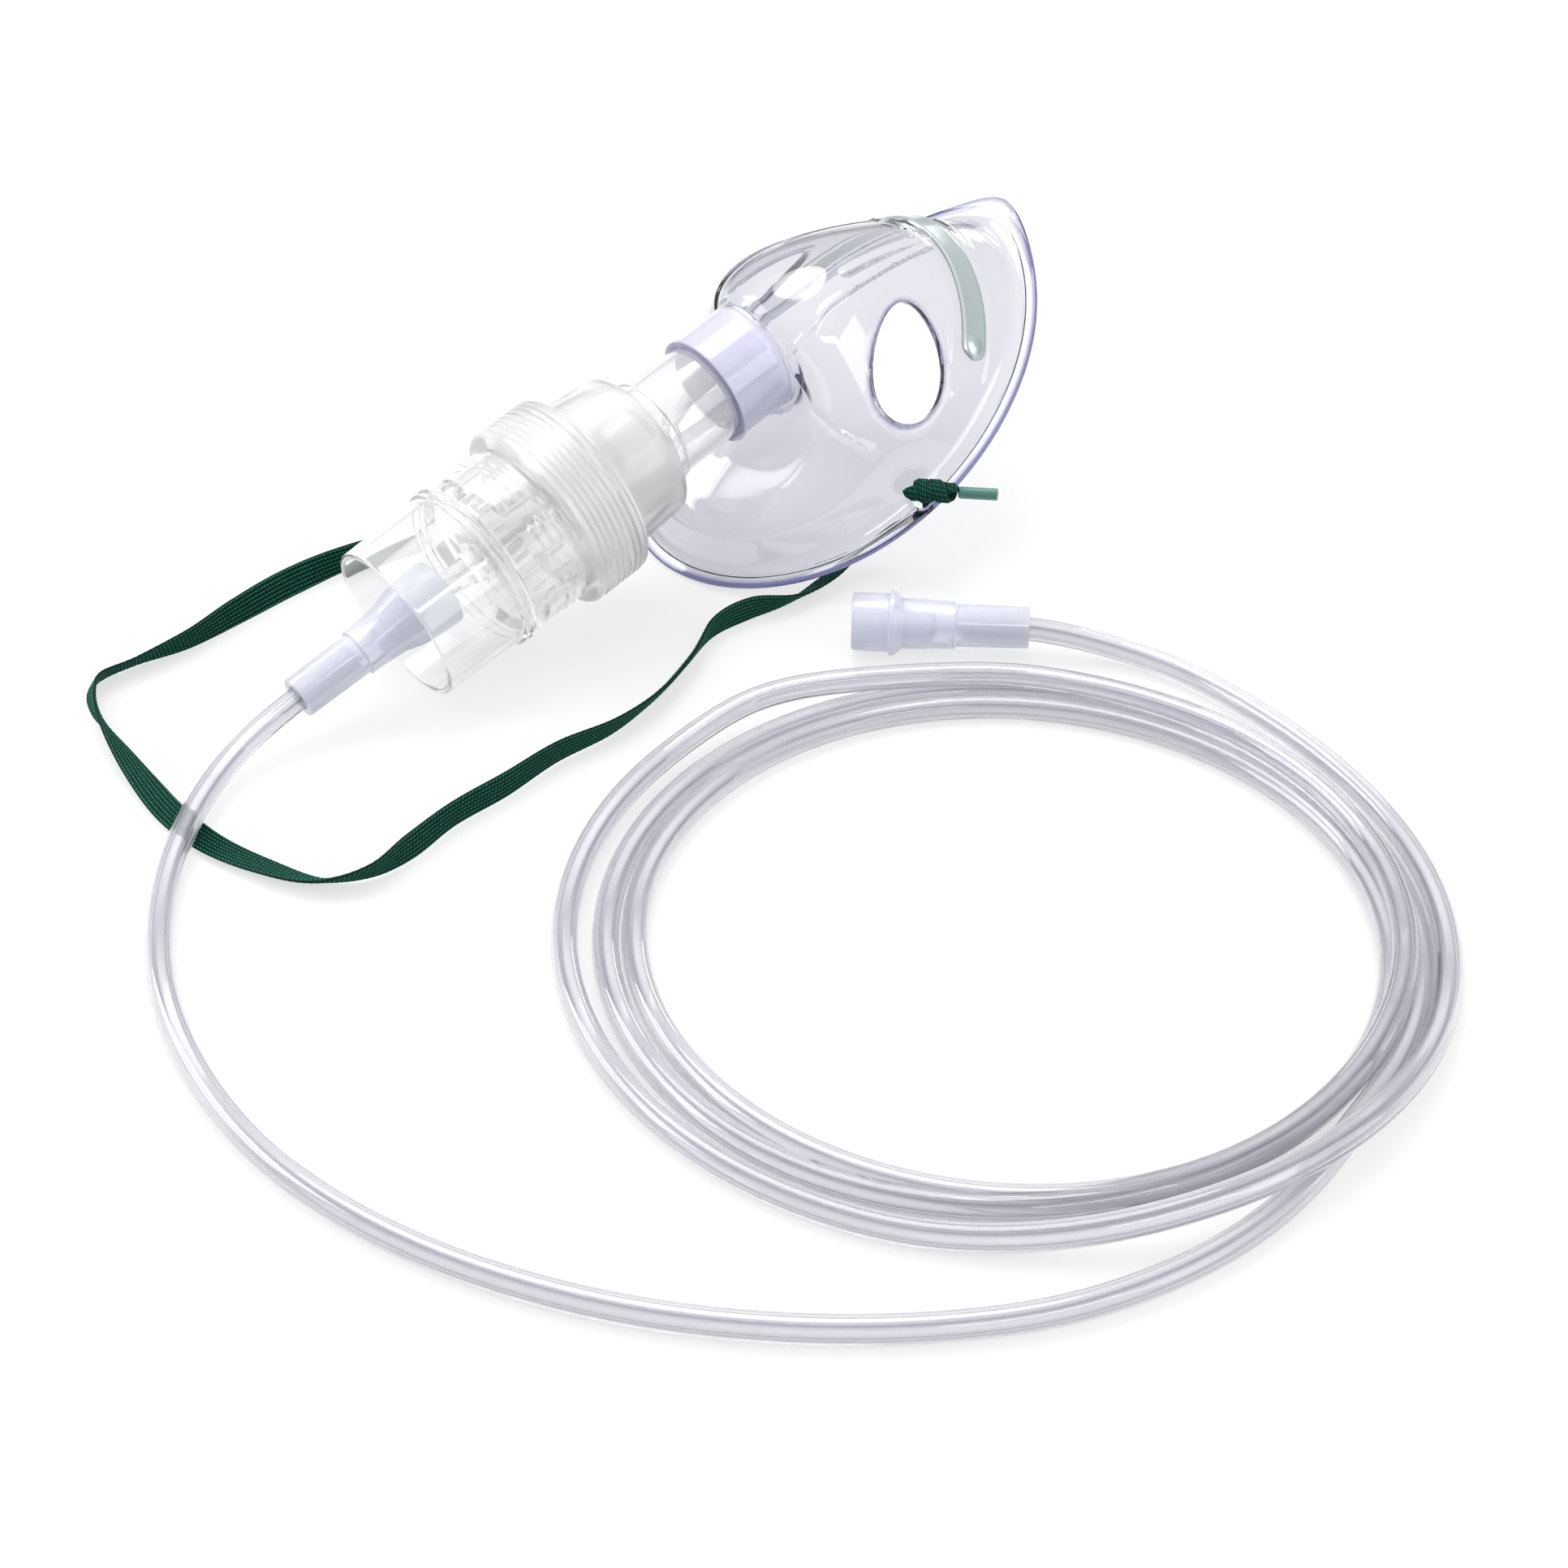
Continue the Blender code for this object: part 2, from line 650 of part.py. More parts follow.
def smooth_route(points, spacing):
    """Catmull-Rom curve through the points, as evenly spaced points in metres."""
    nodes = [np.array(p, float) * MM for p in points]
    nodes = [2 * nodes[0] - nodes[1]] + nodes + [2 * nodes[-1] - nodes[-2]]
    dense = []
    for a, b, c, d in zip(nodes, nodes[1:], nodes[2:], nodes[3:]):
        for u in np.linspace(0, 1, 24, endpoint=False):
            bend = (2 * a - 5 * b + 4 * c - d) * u**2 + (3 * b - a - 3 * c + d) * u**3
            dense.append(0.5 * (2 * b + (c - a) * u + bend))
    dense.append(nodes[-2])
    dense = np.array(dense)
    walked = np.concatenate([[0], np.cumsum(np.linalg.norm(np.diff(dense, axis=0), axis=1))])
    count = max(2, int(round(walked[-1] / spacing)) + 1)
    where = np.linspace(0, walked[-1], count)
    return np.stack([np.interp(where, walked, dense[:, k]) for k in range(3)], axis=1)


def tube(name, points, collection):
    curve = bpy.data.curves.new(name, "CURVE")
    curve.dimensions = "3D"
    curve.bevel_depth = TUBE_DIAMETER / 2
    curve.bevel_resolution = 2
    curve.use_fill_caps = True
    spline = curve.splines.new("POLY")
    spline.points.add(len(points) - 1)
    for place, point in zip(points, spline.points):
        point.co = (*place, 1)
    return add_object(name, curve, collection, "clear_plastic")


def coil_distance(point):
    return math.hypot(point[0] - COIL_CENTRE.x, point[1] - COIL_CENTRE.y)


def build_tubing(parts):
    lead_start = JAR_MOUTH + jar_axis() * (JAR_BELL_STATION - CONNECTOR_LENGTH + SLEEVE_DEPTH - GAP)
    sleeve_out = JAR_MOUTH + jar_axis() * (JAR_BELL_STATION - CONNECTOR_LENGTH - 3 * MM)
    first = [tuple(v / MM for v in place) for place in (lead_start, sleeve_out)]
    lead = smooth_route(tuple(first) + LEAD_ROUTE, TUBE_SPACING)
    tube("tubing_lead", [p for p in lead if coil_distance(p) > COIL_OUTER + GAP], parts)
    heading = wall_heading()
    stop = WALL_CONNECTOR_END + heading * (SLEEVE_DEPTH - GAP)
    out = WALL_CONNECTOR_END - heading * 3 * MM
    second = [tuple(v / MM for v in place) for place in (stop, out)]
    tail = smooth_route(tuple(second) + TAIL_ROUTE, TUBE_SPACING)
    tube("tubing_tail", [p for p in tail if coil_distance(p) > COIL_OUTER + GAP], parts)


def wall_heading():
    """From the sleeve end to the bell mouth of the supply connector."""
    return Vector((math.cos(WALL_CONNECTOR_HEADING), math.sin(WALL_CONNECTOR_HEADING), 0))


def build_coil(parts):
    """Outer shape of the coil: a flat ring with rounded edges."""
    edge = 2.2 * MM
    outline = [
        (COIL_OUTER, edge),
        (COIL_OUTER - edge, 0.05 * MM),
        (COIL_INNER + edge, 0.05 * MM),
        (COIL_INNER, edge),
        (COIL_INNER, COIL_HEIGHT - edge),
        (COIL_INNER + edge, COIL_HEIGHT),
        (COIL_OUTER - edge * 2, COIL_HEIGHT),
        (COIL_OUTER, COIL_HEIGHT - edge * 2),
    ]
    ring = turned("tubing_coil", outline, parts, "clear_plastic", None, 64)
    ring.location = COIL_CENTRE
    return ring


# Head strap

STRAP_ROUTE = (
    (27.0, -33.6, 10.5, 10, 0.6),
    (20.5, -30.2, 5.6, 40, 0.9),
    (10.0, -30.4, 2.7, 30, 1.0),
    (-1.5, -31.6, 2.6, 45, 1.0),
    (-13.0, -29.2, 3.6, 85, 1.0),
    (-24.0, -29.6, 3.6, 80, 1.0),
    (-36.0, -35.6, 3.3, 60, 1.0),
    (-50.0, -41.4, 3.2, 55, 1.0),
    (-64.0, -44.4, 3.4, 65, 1.0),
    (-79.0, -44.0, 3.6, 80, 1.0),
    (-94.0, -46.0, 3.6, 90, 1.0),
    (-108.0, -47.0, 3.6, 90, 1.0),
    (-121.0, -50.0, 3.6, 95, 1.0),
    (-132.0, -51.0, 3.4, 60, 1.0),
    (-140.6, -45.6, 2.4, 35, 1.0),
    (-146.0, -34.0, 1.8, 15, 1.0),
    (-149.6, -20.0, 1.0, 3, 1.0),
    (-150.6, -6.0, 1.0, 0, 1.0),
    (-149.4, 9.0, 1.9, 20, 1.0),
    (-147.2, 24.0, 3.0, 55, 1.0),
    (-144.6, 36.0, 3.6, 90, 1.0),
    (-139.0, 44.4, 3.6, 90, 1.0),
    (-129.0, 45.2, 3.6, 90, 1.0),
    (-116.0, 44.4, 3.6, 75, 1.0),
    (-102.0, 46.6, 3.4, 60, 1.0),
    (-86.0, 49.0, 3.4, 60, 1.0),
    (-70.0, 48.8, 3.6, 85, 1.0),
    (-54.0, 45.4, 3.6, 90, 1.0),
    (-36.0, 41.6, 3.6, 90, 1.0),
    (-18.0, 38.6, 3.6, 90, 1.0),
    (-2.0, 36.0, 3.6, 85, 1.0),
    (12.0, 32.4, 3.8, 70, 1.0),
    (21.5, 31.4, 5.6, 40, 0.9),
    (27.0, 33.6, 10.5, 10, 0.6),
)


def tie_world(side):
    return FACE_CENTRE + face_rotation() @ tie_place(side)


def front_way():
    return face_rotation() @ Vector((0, 0, 1))


def hole_station(side, past):
    """Station of the gathered strap on the tie hole's axis, past the flange by a length."""
    place = tie_world(side) + front_way() * past
    return (*(v / MM for v in place), 0, STRAP_GATHER)


def strap_curve():
    """Flat braid along its route. Each point has a lean in degrees (0 flat, 90 on edge) and a size."""
    passes = (STRAP_ABOVE_HOLE, -STRAP_BELOW_HOLE)
    near, far = ([hole_station(side, past) for past in passes] for side in (1, -1))
    stations = near + list(STRAP_ROUTE) + far[::-1]
    points = smooth_route([p[:3] for p in stations], STRAP_SPACING)
    keys = np.array([np.array(p[:3], float) * MM for p in stations])
    nearest = [int(np.argmin(np.linalg.norm(points - k, axis=1))) for k in keys]
    index = np.arange(len(points))
    lean = np.interp(index, nearest, [p[3] for p in stations])
    size = np.interp(index, nearest, [p[4] for p in stations])
    return points, lean, size


def strap_section(place, ahead, lean, size):
    """Rounded rectangle of the braid at one place, as eight points."""
    level = Vector((0, 0, 1)).cross(ahead)
    if level.length < 0.2:
        level = Vector((1, 0, 0))
    level.normalize()
    up = ahead.cross(level).normalized()
    wide = level * math.cos(math.radians(lean)) + up * math.sin(math.radians(lean))
    thick = ahead.cross(wide).normalized()
    half_wide = STRAP_WIDTH / 2 * size
    half_thick = STRAP_THICKNESS / 2 * (1 + 0.8 * (1 - size))
    corners = ((1, 0), (0.86, 1), (0, 1.0), (-0.86, 1), (-1, 0), (-0.86, -1), (0, -1.0), (0.86, -1))
    return [place + wide * half_wide * a + thick * half_thick * b for a, b in corners]


def knot_solid(name, side, collection):
    """Lump of the overhand knot, lying outwards from its hole."""
    made = bmesh.new()
    bmesh.ops.create_uvsphere(made, u_segments=14, v_segments=9, radius=1)
    bmesh.ops.scale(made, vec=(KNOT_RADIUS, KNOT_RADIUS, KNOT_LENGTH / 2), verts=made.verts)
    turn = knot_way(side).to_track_quat("Z", "Y").to_matrix()
    bmesh.ops.rotate(made, matrix=turn, cent=(0, 0, 0), verts=made.verts)
    bmesh.ops.translate(made, vec=knot_centre(side), verts=made.verts)
    mesh = bpy.data.meshes.new(name)
    made.to_mesh(mesh)
    made.free()
    obj = add_object(name, mesh, collection)
    hide_cutter(obj)
    return obj


def knot_way(side):
    """The near knot points to the viewer, the far one along the rim to the nose."""
    return Vector((0.62, -0.78, 0.05) if side > 0 else (0.90, 0.30, 0.32)).normalized()


def knot_centre(side):
    return tie_world(side) + front_way() * (KNOT_RADIUS + 1.2 * MM) + knot_way(side) * KNOT_LENGTH * 0.28


def build_strap(parts, cutters):
    points, lean, size = strap_curve()
    places = [Vector(p) for p in points]
    rings = []
    for i, place in enumerate(places):
        ahead = (places[min(i + 1, len(places) - 1)] - places[max(i - 1, 0)]).normalized()
        rings.append(strap_section(place, ahead, lean[i], size[i]))
    made = loft(rings)
    bmesh.ops.holes_fill(made, edges=made.edges, sides=0)
    bmesh.ops.recalc_face_normals(made, faces=made.faces)
    mesh = bpy.data.meshes.new("strap")
    made.to_mesh(mesh)
    made.free()
    shade(mesh)
    strap = add_object("strap", mesh, parts, "green_elastic")
    for label, side in (("near", 1), ("far", -1)):
        boolean(strap, knot_solid("knot_" + label, side, cutters), "UNION")
        build_tip("strap_tip_" + label, side, parts)
    return strap


def build_tip(name, side, parts):
    """Clear sleeve that stands out of the knot."""
    way = knot_way(side)
    start = knot_centre(side) + way * (KNOT_LENGTH / 2 + GAP)
    made = bmesh.new()
    bmesh.ops.create_cone(
        made, cap_ends=True, segments=12, radius1=TIP_RADIUS, radius2=TIP_RADIUS, depth=TIP_LENGTH
    )
    turn = way.to_track_quat("Z", "Y").to_matrix()
    bmesh.ops.rotate(made, matrix=turn, cent=(0, 0, 0), verts=made.verts)
    bmesh.ops.translate(made, vec=start + way * TIP_LENGTH / 2, verts=made.verts)
    mesh = bpy.data.meshes.new(name)
    made.to_mesh(mesh)
    made.free()
    shade(mesh)
    return add_object(name, mesh, parts, "clear_plastic")


def main():
    clear_scene()
    parts = make_collection("nebuliser_mask")
    cutters = make_collection("cutters")
    axis_turn = jar_axis().to_track_quat("Z", "Y").to_matrix()
    axis = add_frame("nebuliser_axis", JAR_MOUTH, axis_turn, cutters)
    face = add_frame("mask_face", FACE_CENTRE, face_rotation(), cutters)
    bpy.context.view_layer.update()

    build_mask(parts, cutters, face)
    build_nose_clip(parts, face)
    turned("jar", jar_outline(), parts, "clear_plastic", axis, 36)
    build_jet_cone(parts, cutters, axis)
    turned("nebuliser_cap", cap_outline(), parts, "frosted", axis, 36)
    turned("outlet_adapter", adapter_outline(), parts, "clear_plastic", axis)

    jar_connector = turned(
        "jar_connector", connector_outline(JAR_BELL_RADIUS, 0), parts, "lilac_pvc", axis, 24
    )
    jar_connector.location = (0, 0, JAR_BELL_STATION)
    jar_connector.rotation_euler = (math.pi, 0, 0)
    wall_connector = turned(
        "wall_connector", connector_outline(WALL_BELL_RADIUS, WALL_RIDGE), parts, "lilac_pvc", None, 24
    )
    wall_connector.location = WALL_CONNECTOR_END + wall_heading() * CONNECTOR_LENGTH
    wall_connector.rotation_euler = (-wall_heading()).to_track_quat("Z", "Y").to_euler()

    build_tubing(parts)
    build_coil(parts)
    build_strap(parts, cutters)


main()
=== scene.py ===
"""Looks of the nebuliser oxygen mask set: clear soft shell, jar and cap, tubing, braided strap."""

import math

import bmesh
import bpy
import numpy as np
from mathutils import Matrix, Vector
from mathutils.kdtree import KDTree


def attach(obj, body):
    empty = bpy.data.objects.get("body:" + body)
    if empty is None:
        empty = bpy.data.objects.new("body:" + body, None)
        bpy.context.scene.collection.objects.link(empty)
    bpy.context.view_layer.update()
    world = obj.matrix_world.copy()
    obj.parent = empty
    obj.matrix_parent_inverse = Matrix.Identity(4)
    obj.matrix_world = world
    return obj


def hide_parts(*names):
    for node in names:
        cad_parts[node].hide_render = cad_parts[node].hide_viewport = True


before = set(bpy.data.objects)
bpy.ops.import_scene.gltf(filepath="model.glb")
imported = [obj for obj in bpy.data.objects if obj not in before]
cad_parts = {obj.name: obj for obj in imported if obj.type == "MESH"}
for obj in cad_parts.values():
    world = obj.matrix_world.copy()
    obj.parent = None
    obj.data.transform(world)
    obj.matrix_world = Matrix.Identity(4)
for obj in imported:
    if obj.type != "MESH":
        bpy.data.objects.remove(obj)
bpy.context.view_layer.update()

bl_info = {
    "name": "Nebuliser mask set",
    "version": (1, 0, 0),
    "blender": (4, 5, 0),
    "location": "View3D > Sidebar > Nebuliser",
    "description": "Builds the visible pieces of a nebuliser oxygen mask set over its packed model",
    "category": "Object",
}

MM = 0.001

# Camera and its turn about the set
CAMERA_PLACE = (-0.3498, -0.4302, 0.3550)
CAMERA_TILT = math.radians(52.5)
CAMERA_TURN = math.radians(-40.9)
CAMERA_LENS = 63.35
CAMERA_SENSOR = 36

# How the set lies on the table
JAR_TILT = math.radians(16)
FACE_TILT = math.radians(28)
JAR_MOUTH = np.array([-88.7, 0, 17.88]) * MM
FACE_CENTRE = np.array([39.9, 0, 29.513]) * MM

# Mask body
MASK_LENGTH = 121 * MM
MASK_WIDTH = 85 * MM
RIM_PEAR = 0.12
RIM_SWEEP = 5.5 * MM
NOSE_RISE = 3.4 * MM
NOSE_STRETCH = 1.4 * MM
NOSE_SPREAD = 0.42
NOSE_PINCH = 0.25
NOSE_FLARE = 0.5
FLANGE_WIDTH = 5.5 * MM
FLANGE_RISE = 2.2 * MM
MASK_WALL = 1.3 * MM
PANEL_DENT = 2.4 * MM
RIDGE_REACH = 30.5 * MM
CHEEK_REACH = 20 * MM
CHIN_REACH = 15 * MM
PORT_BORE = 11.4 * MM
PORT_WALL = 1.7 * MM
PORT_LENGTH = 16.5 * MM
PORT_LIP = 0.5 * MM
PORT_STATION = 107.5 * MM
VENT_LENGTH = 28.5 * MM
VENT_WIDTH = 19.5 * MM
VENT_SPOKE = math.radians(73)
VENT_RING = 0.385
VENT_EGG = 0.16
VENT_TOP = (math.radians(52), 0.41)
TIE_HOLE = 2.0 * MM
TIE_SPOKE = math.radians(103)
TIE_INSET = 0.62
MASK_INSIDE = np.array([0, 0, 4]) * MM
CLIP_WIDTH = 7.0 * MM
CLIP_THICKNESS = 0.8 * MM
CLIP_SPOKE = math.radians(66)
CLIP_RING = 0.245
CLIP_SLOPE = 0.15
GAP = 0.3 * MM

# Jar, cap and adapter: stations along the nebuliser's axis
JAR_SKIRT_RADIUS = 18.6 * MM
JAR_BODY_RADIUS = 19.5 * MM
JAR_WALL = 1.4 * MM
JAR_FLOOR = 22.5 * MM
JAR_FLOOR_THICKNESS = 1.6 * MM
JAR_SHOULDER = 39 * MM
NECK_RADIUS = 18.5 * MM
NECK_END = 52 * MM
NIPPLE_RADIUS = 3.1 * MM
NIPPLE_BORE = 1.4 * MM
JET_RADIUS = 2.2 * MM
JET_BORE = 0.9 * MM
JET_END = 38 * MM
JAR_RIBS = 24
CONE_FINS = 4
DOME_FLUTES = 20
# Size and place of one rib and one fin, in millimetres
JAR_RIB = ((0.5, 0.45, 10.5), (16.7, 0, 31.4))
CONE_FIN = ((6.6, 1.2, 10.2), (7.7, 0, 31.4))
THREAD_PITCH = 2.4 * MM
THREAD_RISE = 0.3 * MM
CONE_WALL = 1.0 * MM
CONE_TOP = 42.5 * MM
CAP_RING_RADIUS = 22.7 * MM
CAP_RING_START = 39.6 * MM
CAP_RING_END = 54.5 * MM
CAP_WALL = 1.6 * MM
CAP_RIDGES = 7
DOME_RADIUS = 18.5 * MM
DOME_TOP_RADIUS = 17.8 * MM
DOME_END = 71 * MM
SOCKET_DEPTH = 11 * MM
ADAPTER_RADIUS = 12.1 * MM
ADAPTER_WALL = 1.3 * MM
ADAPTER_PLUG = 14 * MM

# Tubing and connectors
TUBE_BORE = 3.3 * MM
TUBE_STEP = 2.2 * MM
TUBE_EASE = 8 * MM
STAR_POINTS = 5
STAR_DEPTH = 0.07
SLEEVE_RADIUS = 4.7 * MM
SLEEVE_DEPTH = 15 * MM
JAR_BELL_RADIUS = 8.0 * MM
JAR_BELL_STATION = 12.5 * MM
WALL_BELL_RADIUS = 6.5 * MM
WALL_RIDGE = 0.9 * MM
CONNECTOR_LENGTH = 39.5 * MM
CONNECTOR_NECK = 23 * MM
WALL_CONNECTOR_END = np.array([25.5, -80.5, 7.6]) * MM
WALL_HEADING = math.radians(135.4)
COIL_CENTRE = np.array([-45.6, -147.1]) * MM
LOOP_CENTRE = np.array([-45.4, -144.9]) * MM

# Strap
STRAP_THICKNESS = 0.9 * MM
STRAP_RIBS = 7
BRAID_SPAN = 6.6
STITCH = 0.9
WEAVE_PITCH = 1.5 * MM
WEAVE_HEIGHT = 0.10 * MM
KNOT_LENGTH = 13 * MM
KNOT_TURNS = 3.1
KNOT_BAND = (3.9 * MM, 1.5 * MM)
KNOT_RADIUS = 3.4 * MM
TIP_RADIUS = 1.4 * MM
TIP_LENGTH = 9 * MM

LEAD_ROUTE = (
    (-120.5, 0.9, 7.8), (-127.5, 0.2, 5.9), (-135.5, -3.0, 4.9), (-144.0, -8.6, 4.6),
    (-154.0, -16.4, 4.2), (-164.5, -27.0, 3.1), (-174.0, -40.0, 2.7), (-181.5, -54.0, 2.7),
    (-187.0, -70.5, 2.7), (-190.2, -88.5, 2.7), (-190.6, -106.5, 2.7), (-187.8, -125.0, 2.7),
    (-182.0, -143.5, 2.7), (-173.4, -161.5, 2.7), (-162.0, -179.0, 2.7), (-147.5, -195.5, 2.7),
    (-131.0, -210.0, 2.7), (-112.0, -222.5, 2.7), (-98.0, -228.0, 2.7), (-83.0, -231.6, 2.7),
    (-67.6, -232.6, 2.7), (-52.2, -231.0, 2.7),
)
TAIL_ROUTE = (
    (44.6, -109.4, 2.75), (40.4, -99.6, 3.6), (34.4, -89.8, 5.2),
)
# Bundle of turns: angle turned from where the lead joins, radius and height
BUNDLE = (
    (-25, 80.2, 2.7), (0, 80.0, 2.7), (120, 79.8, 2.7), (235, 80.0, 2.7), (318, 74.2, 2.7),
    (420, 74.0, 2.7), (560, 74.3, 2.7), (680, 74.0, 2.8), (735, 76.4, 7.2), (800, 77.0, 7.6),
    (835, 78.6, 8.2),
)
# Outer loop: angle in the row frame, radius about its own centre and height
LOOP = (
    (78, 83.6, 8.1), (105, 86.2, 4.0), (140, 86.8, 2.7), (180, 86.6, 2.7), (215, 86.4, 2.9),
    (236, 86.4, 5.2), (252, 86.5, 8.1), (270, 86.6, 8.2), (286, 86.4, 5.8), (306, 86.5, 2.9),
    (330, 87.0, 2.7), (350, 88.2, 2.7), (366, 91.0, 2.7),
)
# Strap: place, lean in degrees (0 flat, 90 on edge)
STRAP_ROUTE = (
    (27.0, -33.6, 10.5, 10), (20.5, -30.2, 5.6, 40), (10.0, -30.4, 2.7, 30), (-1.5, -31.6, 2.6, 45),
    (-13.0, -29.2, 3.6, 85), (-24.0, -29.6, 3.6, 80), (-36.0, -35.6, 3.3, 60), (-50.0, -41.4, 3.2, 55),
    (-64.0, -44.4, 3.4, 65), (-79.0, -44.0, 3.6, 80), (-94.0, -46.0, 3.6, 90), (-108.0, -47.0, 3.6, 90),
    (-121.0, -50.0, 3.6, 95), (-132.0, -51.0, 3.4, 60), (-140.6, -45.6, 2.4, 35),
    (-146.0, -34.0, 1.8, 15), (-149.6, -20.0, 1.0, 3), (-150.6, -6.0, 1.0, 0), (-149.4, 9.0, 1.9, 20),
    (-147.2, 24.0, 3.0, 55), (-144.6, 36.0, 3.5, 100), (-139.0, 44.4, 2.9, 125), (-129.0, 45.2, 2.8, 132),
    (-116.0, 44.4, 3.3, 105), (-102.0, 46.6, 3.5, 78), (-86.0, 49.0, 3.4, 60), (-70.0, 48.8, 3.6, 85),
    (-54.0, 45.4, 3.6, 90), (-36.0, 41.6, 3.6, 90), (-18.0, 38.6, 3.6, 90), (-2.0, 36.0, 3.6, 85),
    (12.0, 32.4, 3.8, 70), (21.5, 31.4, 5.6, 40), (27.0, 33.6, 10.5, 10),
)


# Frames

def face_axes():
    """Columns: across towards the near cheek, to the nose, to the front."""
    nose = np.array([math.cos(FACE_TILT), 0, math.sin(FACE_TILT)])
    front = np.array([-math.sin(FACE_TILT), 0, math.cos(FACE_TILT)])
    return np.stack([np.cross(nose, front), nose, front], axis=1)


def face_front():
    return face_axes()[:, 2]


def face_world(points):
    return points @ face_axes().T + FACE_CENTRE


def jar_axis():
    return np.array([math.cos(JAR_TILT), 0, math.sin(JAR_TILT)])


def along_matrix(place, axis):
    """Matrix that puts local Z on the axis, from the given place."""
    turn = Vector(axis).to_track_quat("Z", "Y").to_matrix().to_4x4()
    return Matrix.Translation(Vector(place)) @ turn


def wall_heading():
    return np.array([math.cos(WALL_HEADING), math.sin(WALL_HEADING), 0])


# Meshes

def mesh_object(name, points, faces, material, uv=None, sharp=None):
    """A smooth object with its faces turned out, and with edges sharper than the angle kept sharp."""
    mesh = bpy.data.meshes.new(name)
    mesh.from_pydata([tuple(p) for p in points], [], faces)
    if uv is not None:
        layer = mesh.uv_layers.new(name="UVMap")
        index = np.empty(len(mesh.loops), dtype=np.int32)
        mesh.loops.foreach_get("vertex_index", index)
        layer.data.foreach_set("uv", uv[index].astype(np.float32).ravel())
    obj = linked(name, mesh)
    obj.data.materials.append(material)
    outward_faces(obj)
    mesh.shade_smooth()
    if sharp:
        mesh.set_sharp_from_angle(angle=math.radians(sharp))
    return obj


def linked(name, data):
    obj = bpy.data.objects.new(name, data)
    bpy.context.scene.collection.objects.link(obj)
    return obj


def grid_faces(rows, columns, wrap_rows, wrap_columns):
    faces = []
    for i in range(rows if wrap_rows else rows - 1):
        k = (i + 1) % rows
        for j in range(columns if wrap_columns else columns - 1):
            m = (j + 1) % columns
            faces.append((i * columns + j, i * columns + m, k * columns + m, k * columns + j))
    return faces


def capped_faces(rows, count):
    """Faces of a strand whose rows run along it, closed at both ends."""
    ends = [tuple(range(0, rows * count, count)), tuple(range(count - 1, rows * count, count))[::-1]]
    return grid_faces(rows, count, True, False) + ends


def outward_faces(obj):
    made = bmesh.new()
    made.from_mesh(obj.data)
    bmesh.ops.recalc_face_normals(made, faces=made.faces)
    if made.calc_volume(signed=True) < 0:
        bmesh.ops.reverse_faces(made, faces=made.faces)
    made.to_mesh(obj.data)
    made.free()


def apply_modifiers(obj):
    """The evaluated mesh takes the place of the object's own, and no modifier stays."""
    graph = bpy.context.evaluated_depsgraph_get()
    mesh = bpy.data.meshes.new_from_object(obj.evaluated_get(graph))
    old = obj.data
    obj.modifiers.clear()
    obj.data = mesh
    bpy.data.meshes.remove(old)


def cut(obj, cutters):
    """Takes each cutter out of the object and removes the cutters."""
    for cutter in cutters:
        step = obj.modifiers.new("cut", "BOOLEAN")
        step.operation = "DIFFERENCE"
        step.solver = "EXACT"
        step.object = cutter
    bpy.context.view_layer.update()
    apply_modifiers(obj)
    for cutter in cutters:
        bpy.data.objects.remove(cutter)
    obj.data.shade_smooth()
    obj.data.set_sharp_from_angle(angle=math.radians(40))


def join_into(obj, others):
    """Adds the other objects' meshes to the first one's, with its first material."""
    made = bmesh.new()
    made.from_mesh(obj.data)
    for other in others:
        made.from_mesh(other.data)
    for face in made.faces:
        face.material_index = 0
    made.to_mesh(obj.data)
    made.free()
    for other in others:
        bpy.data.objects.remove(other)
    return obj


def rounded(outline, radius=0.25 * MM):
    """The closed outline with each real corner turned into a small arc of three points."""
    made = []
    count = len(outline)
    for i in range(count):
        before = np.array(outline[i - 1], float)
        here = np.array(outline[i], float)
        after = np.array(outline[(i + 1) % count], float)
        a, b = before - here, after - here
        la, lb = np.linalg.norm(a), np.linalg.norm(b)
        if la < 1e-9 or lb < 1e-9:
            continue
        bend = math.acos(max(-1.0, min(1.0, float(a @ b / la / lb))))
        if bend > math.radians(150):
            made.append(tuple(here))
            continue
        back = min(radius, la * 0.4, lb * 0.4)
        first, last = here + a / la * back, here + b / lb * back
        middle = (first + last) * 0.25 + here * 0.5
        made += [tuple(first), tuple(middle), tuple(last)]
    return made


def about(radius, station, *offsets):
    """Outline points at offsets in millimetres from a radius and a station."""
    return [(radius + out * MM, station + along * MM) for out, along in offsets]


def dense(outline, step):
    """The closed outline with no side longer than the step."""
    made = []
    for a, b in zip(outline, outline[1:] + outline[:1]):
        a, b = np.array(a), np.array(b)
        parts = max(1, int(np.linalg.norm(b - a) / step))
        made += [tuple(a + (b - a) * k / parts) for k in range(parts)]
    return made


def lathe(name, outline, matrix, material, steps=128, shape=None):
    """Sweeps a closed (radius, station) outline round local Z. shape may change radii by place."""
    profile = np.array(outline)
    angle = np.arange(steps) * 2 * math.pi / steps
    radius = np.repeat(profile[:, 0][:, None], steps, axis=1)
    station = np.repeat(profile[:, 1][:, None], steps, axis=1)
    if shape:
        radius = shape(radius, station, angle[None, :])
    local = np.stack([radius * np.cos(angle), radius * np.sin(angle), station], axis=2).reshape(-1, 3)
    turn = np.array(matrix.to_3x3())
    points = local @ turn.T + np.array(matrix.translation)
    return mesh_object(name, points, grid_faces(len(profile), steps, True, True), material, sharp=50)


# Routes

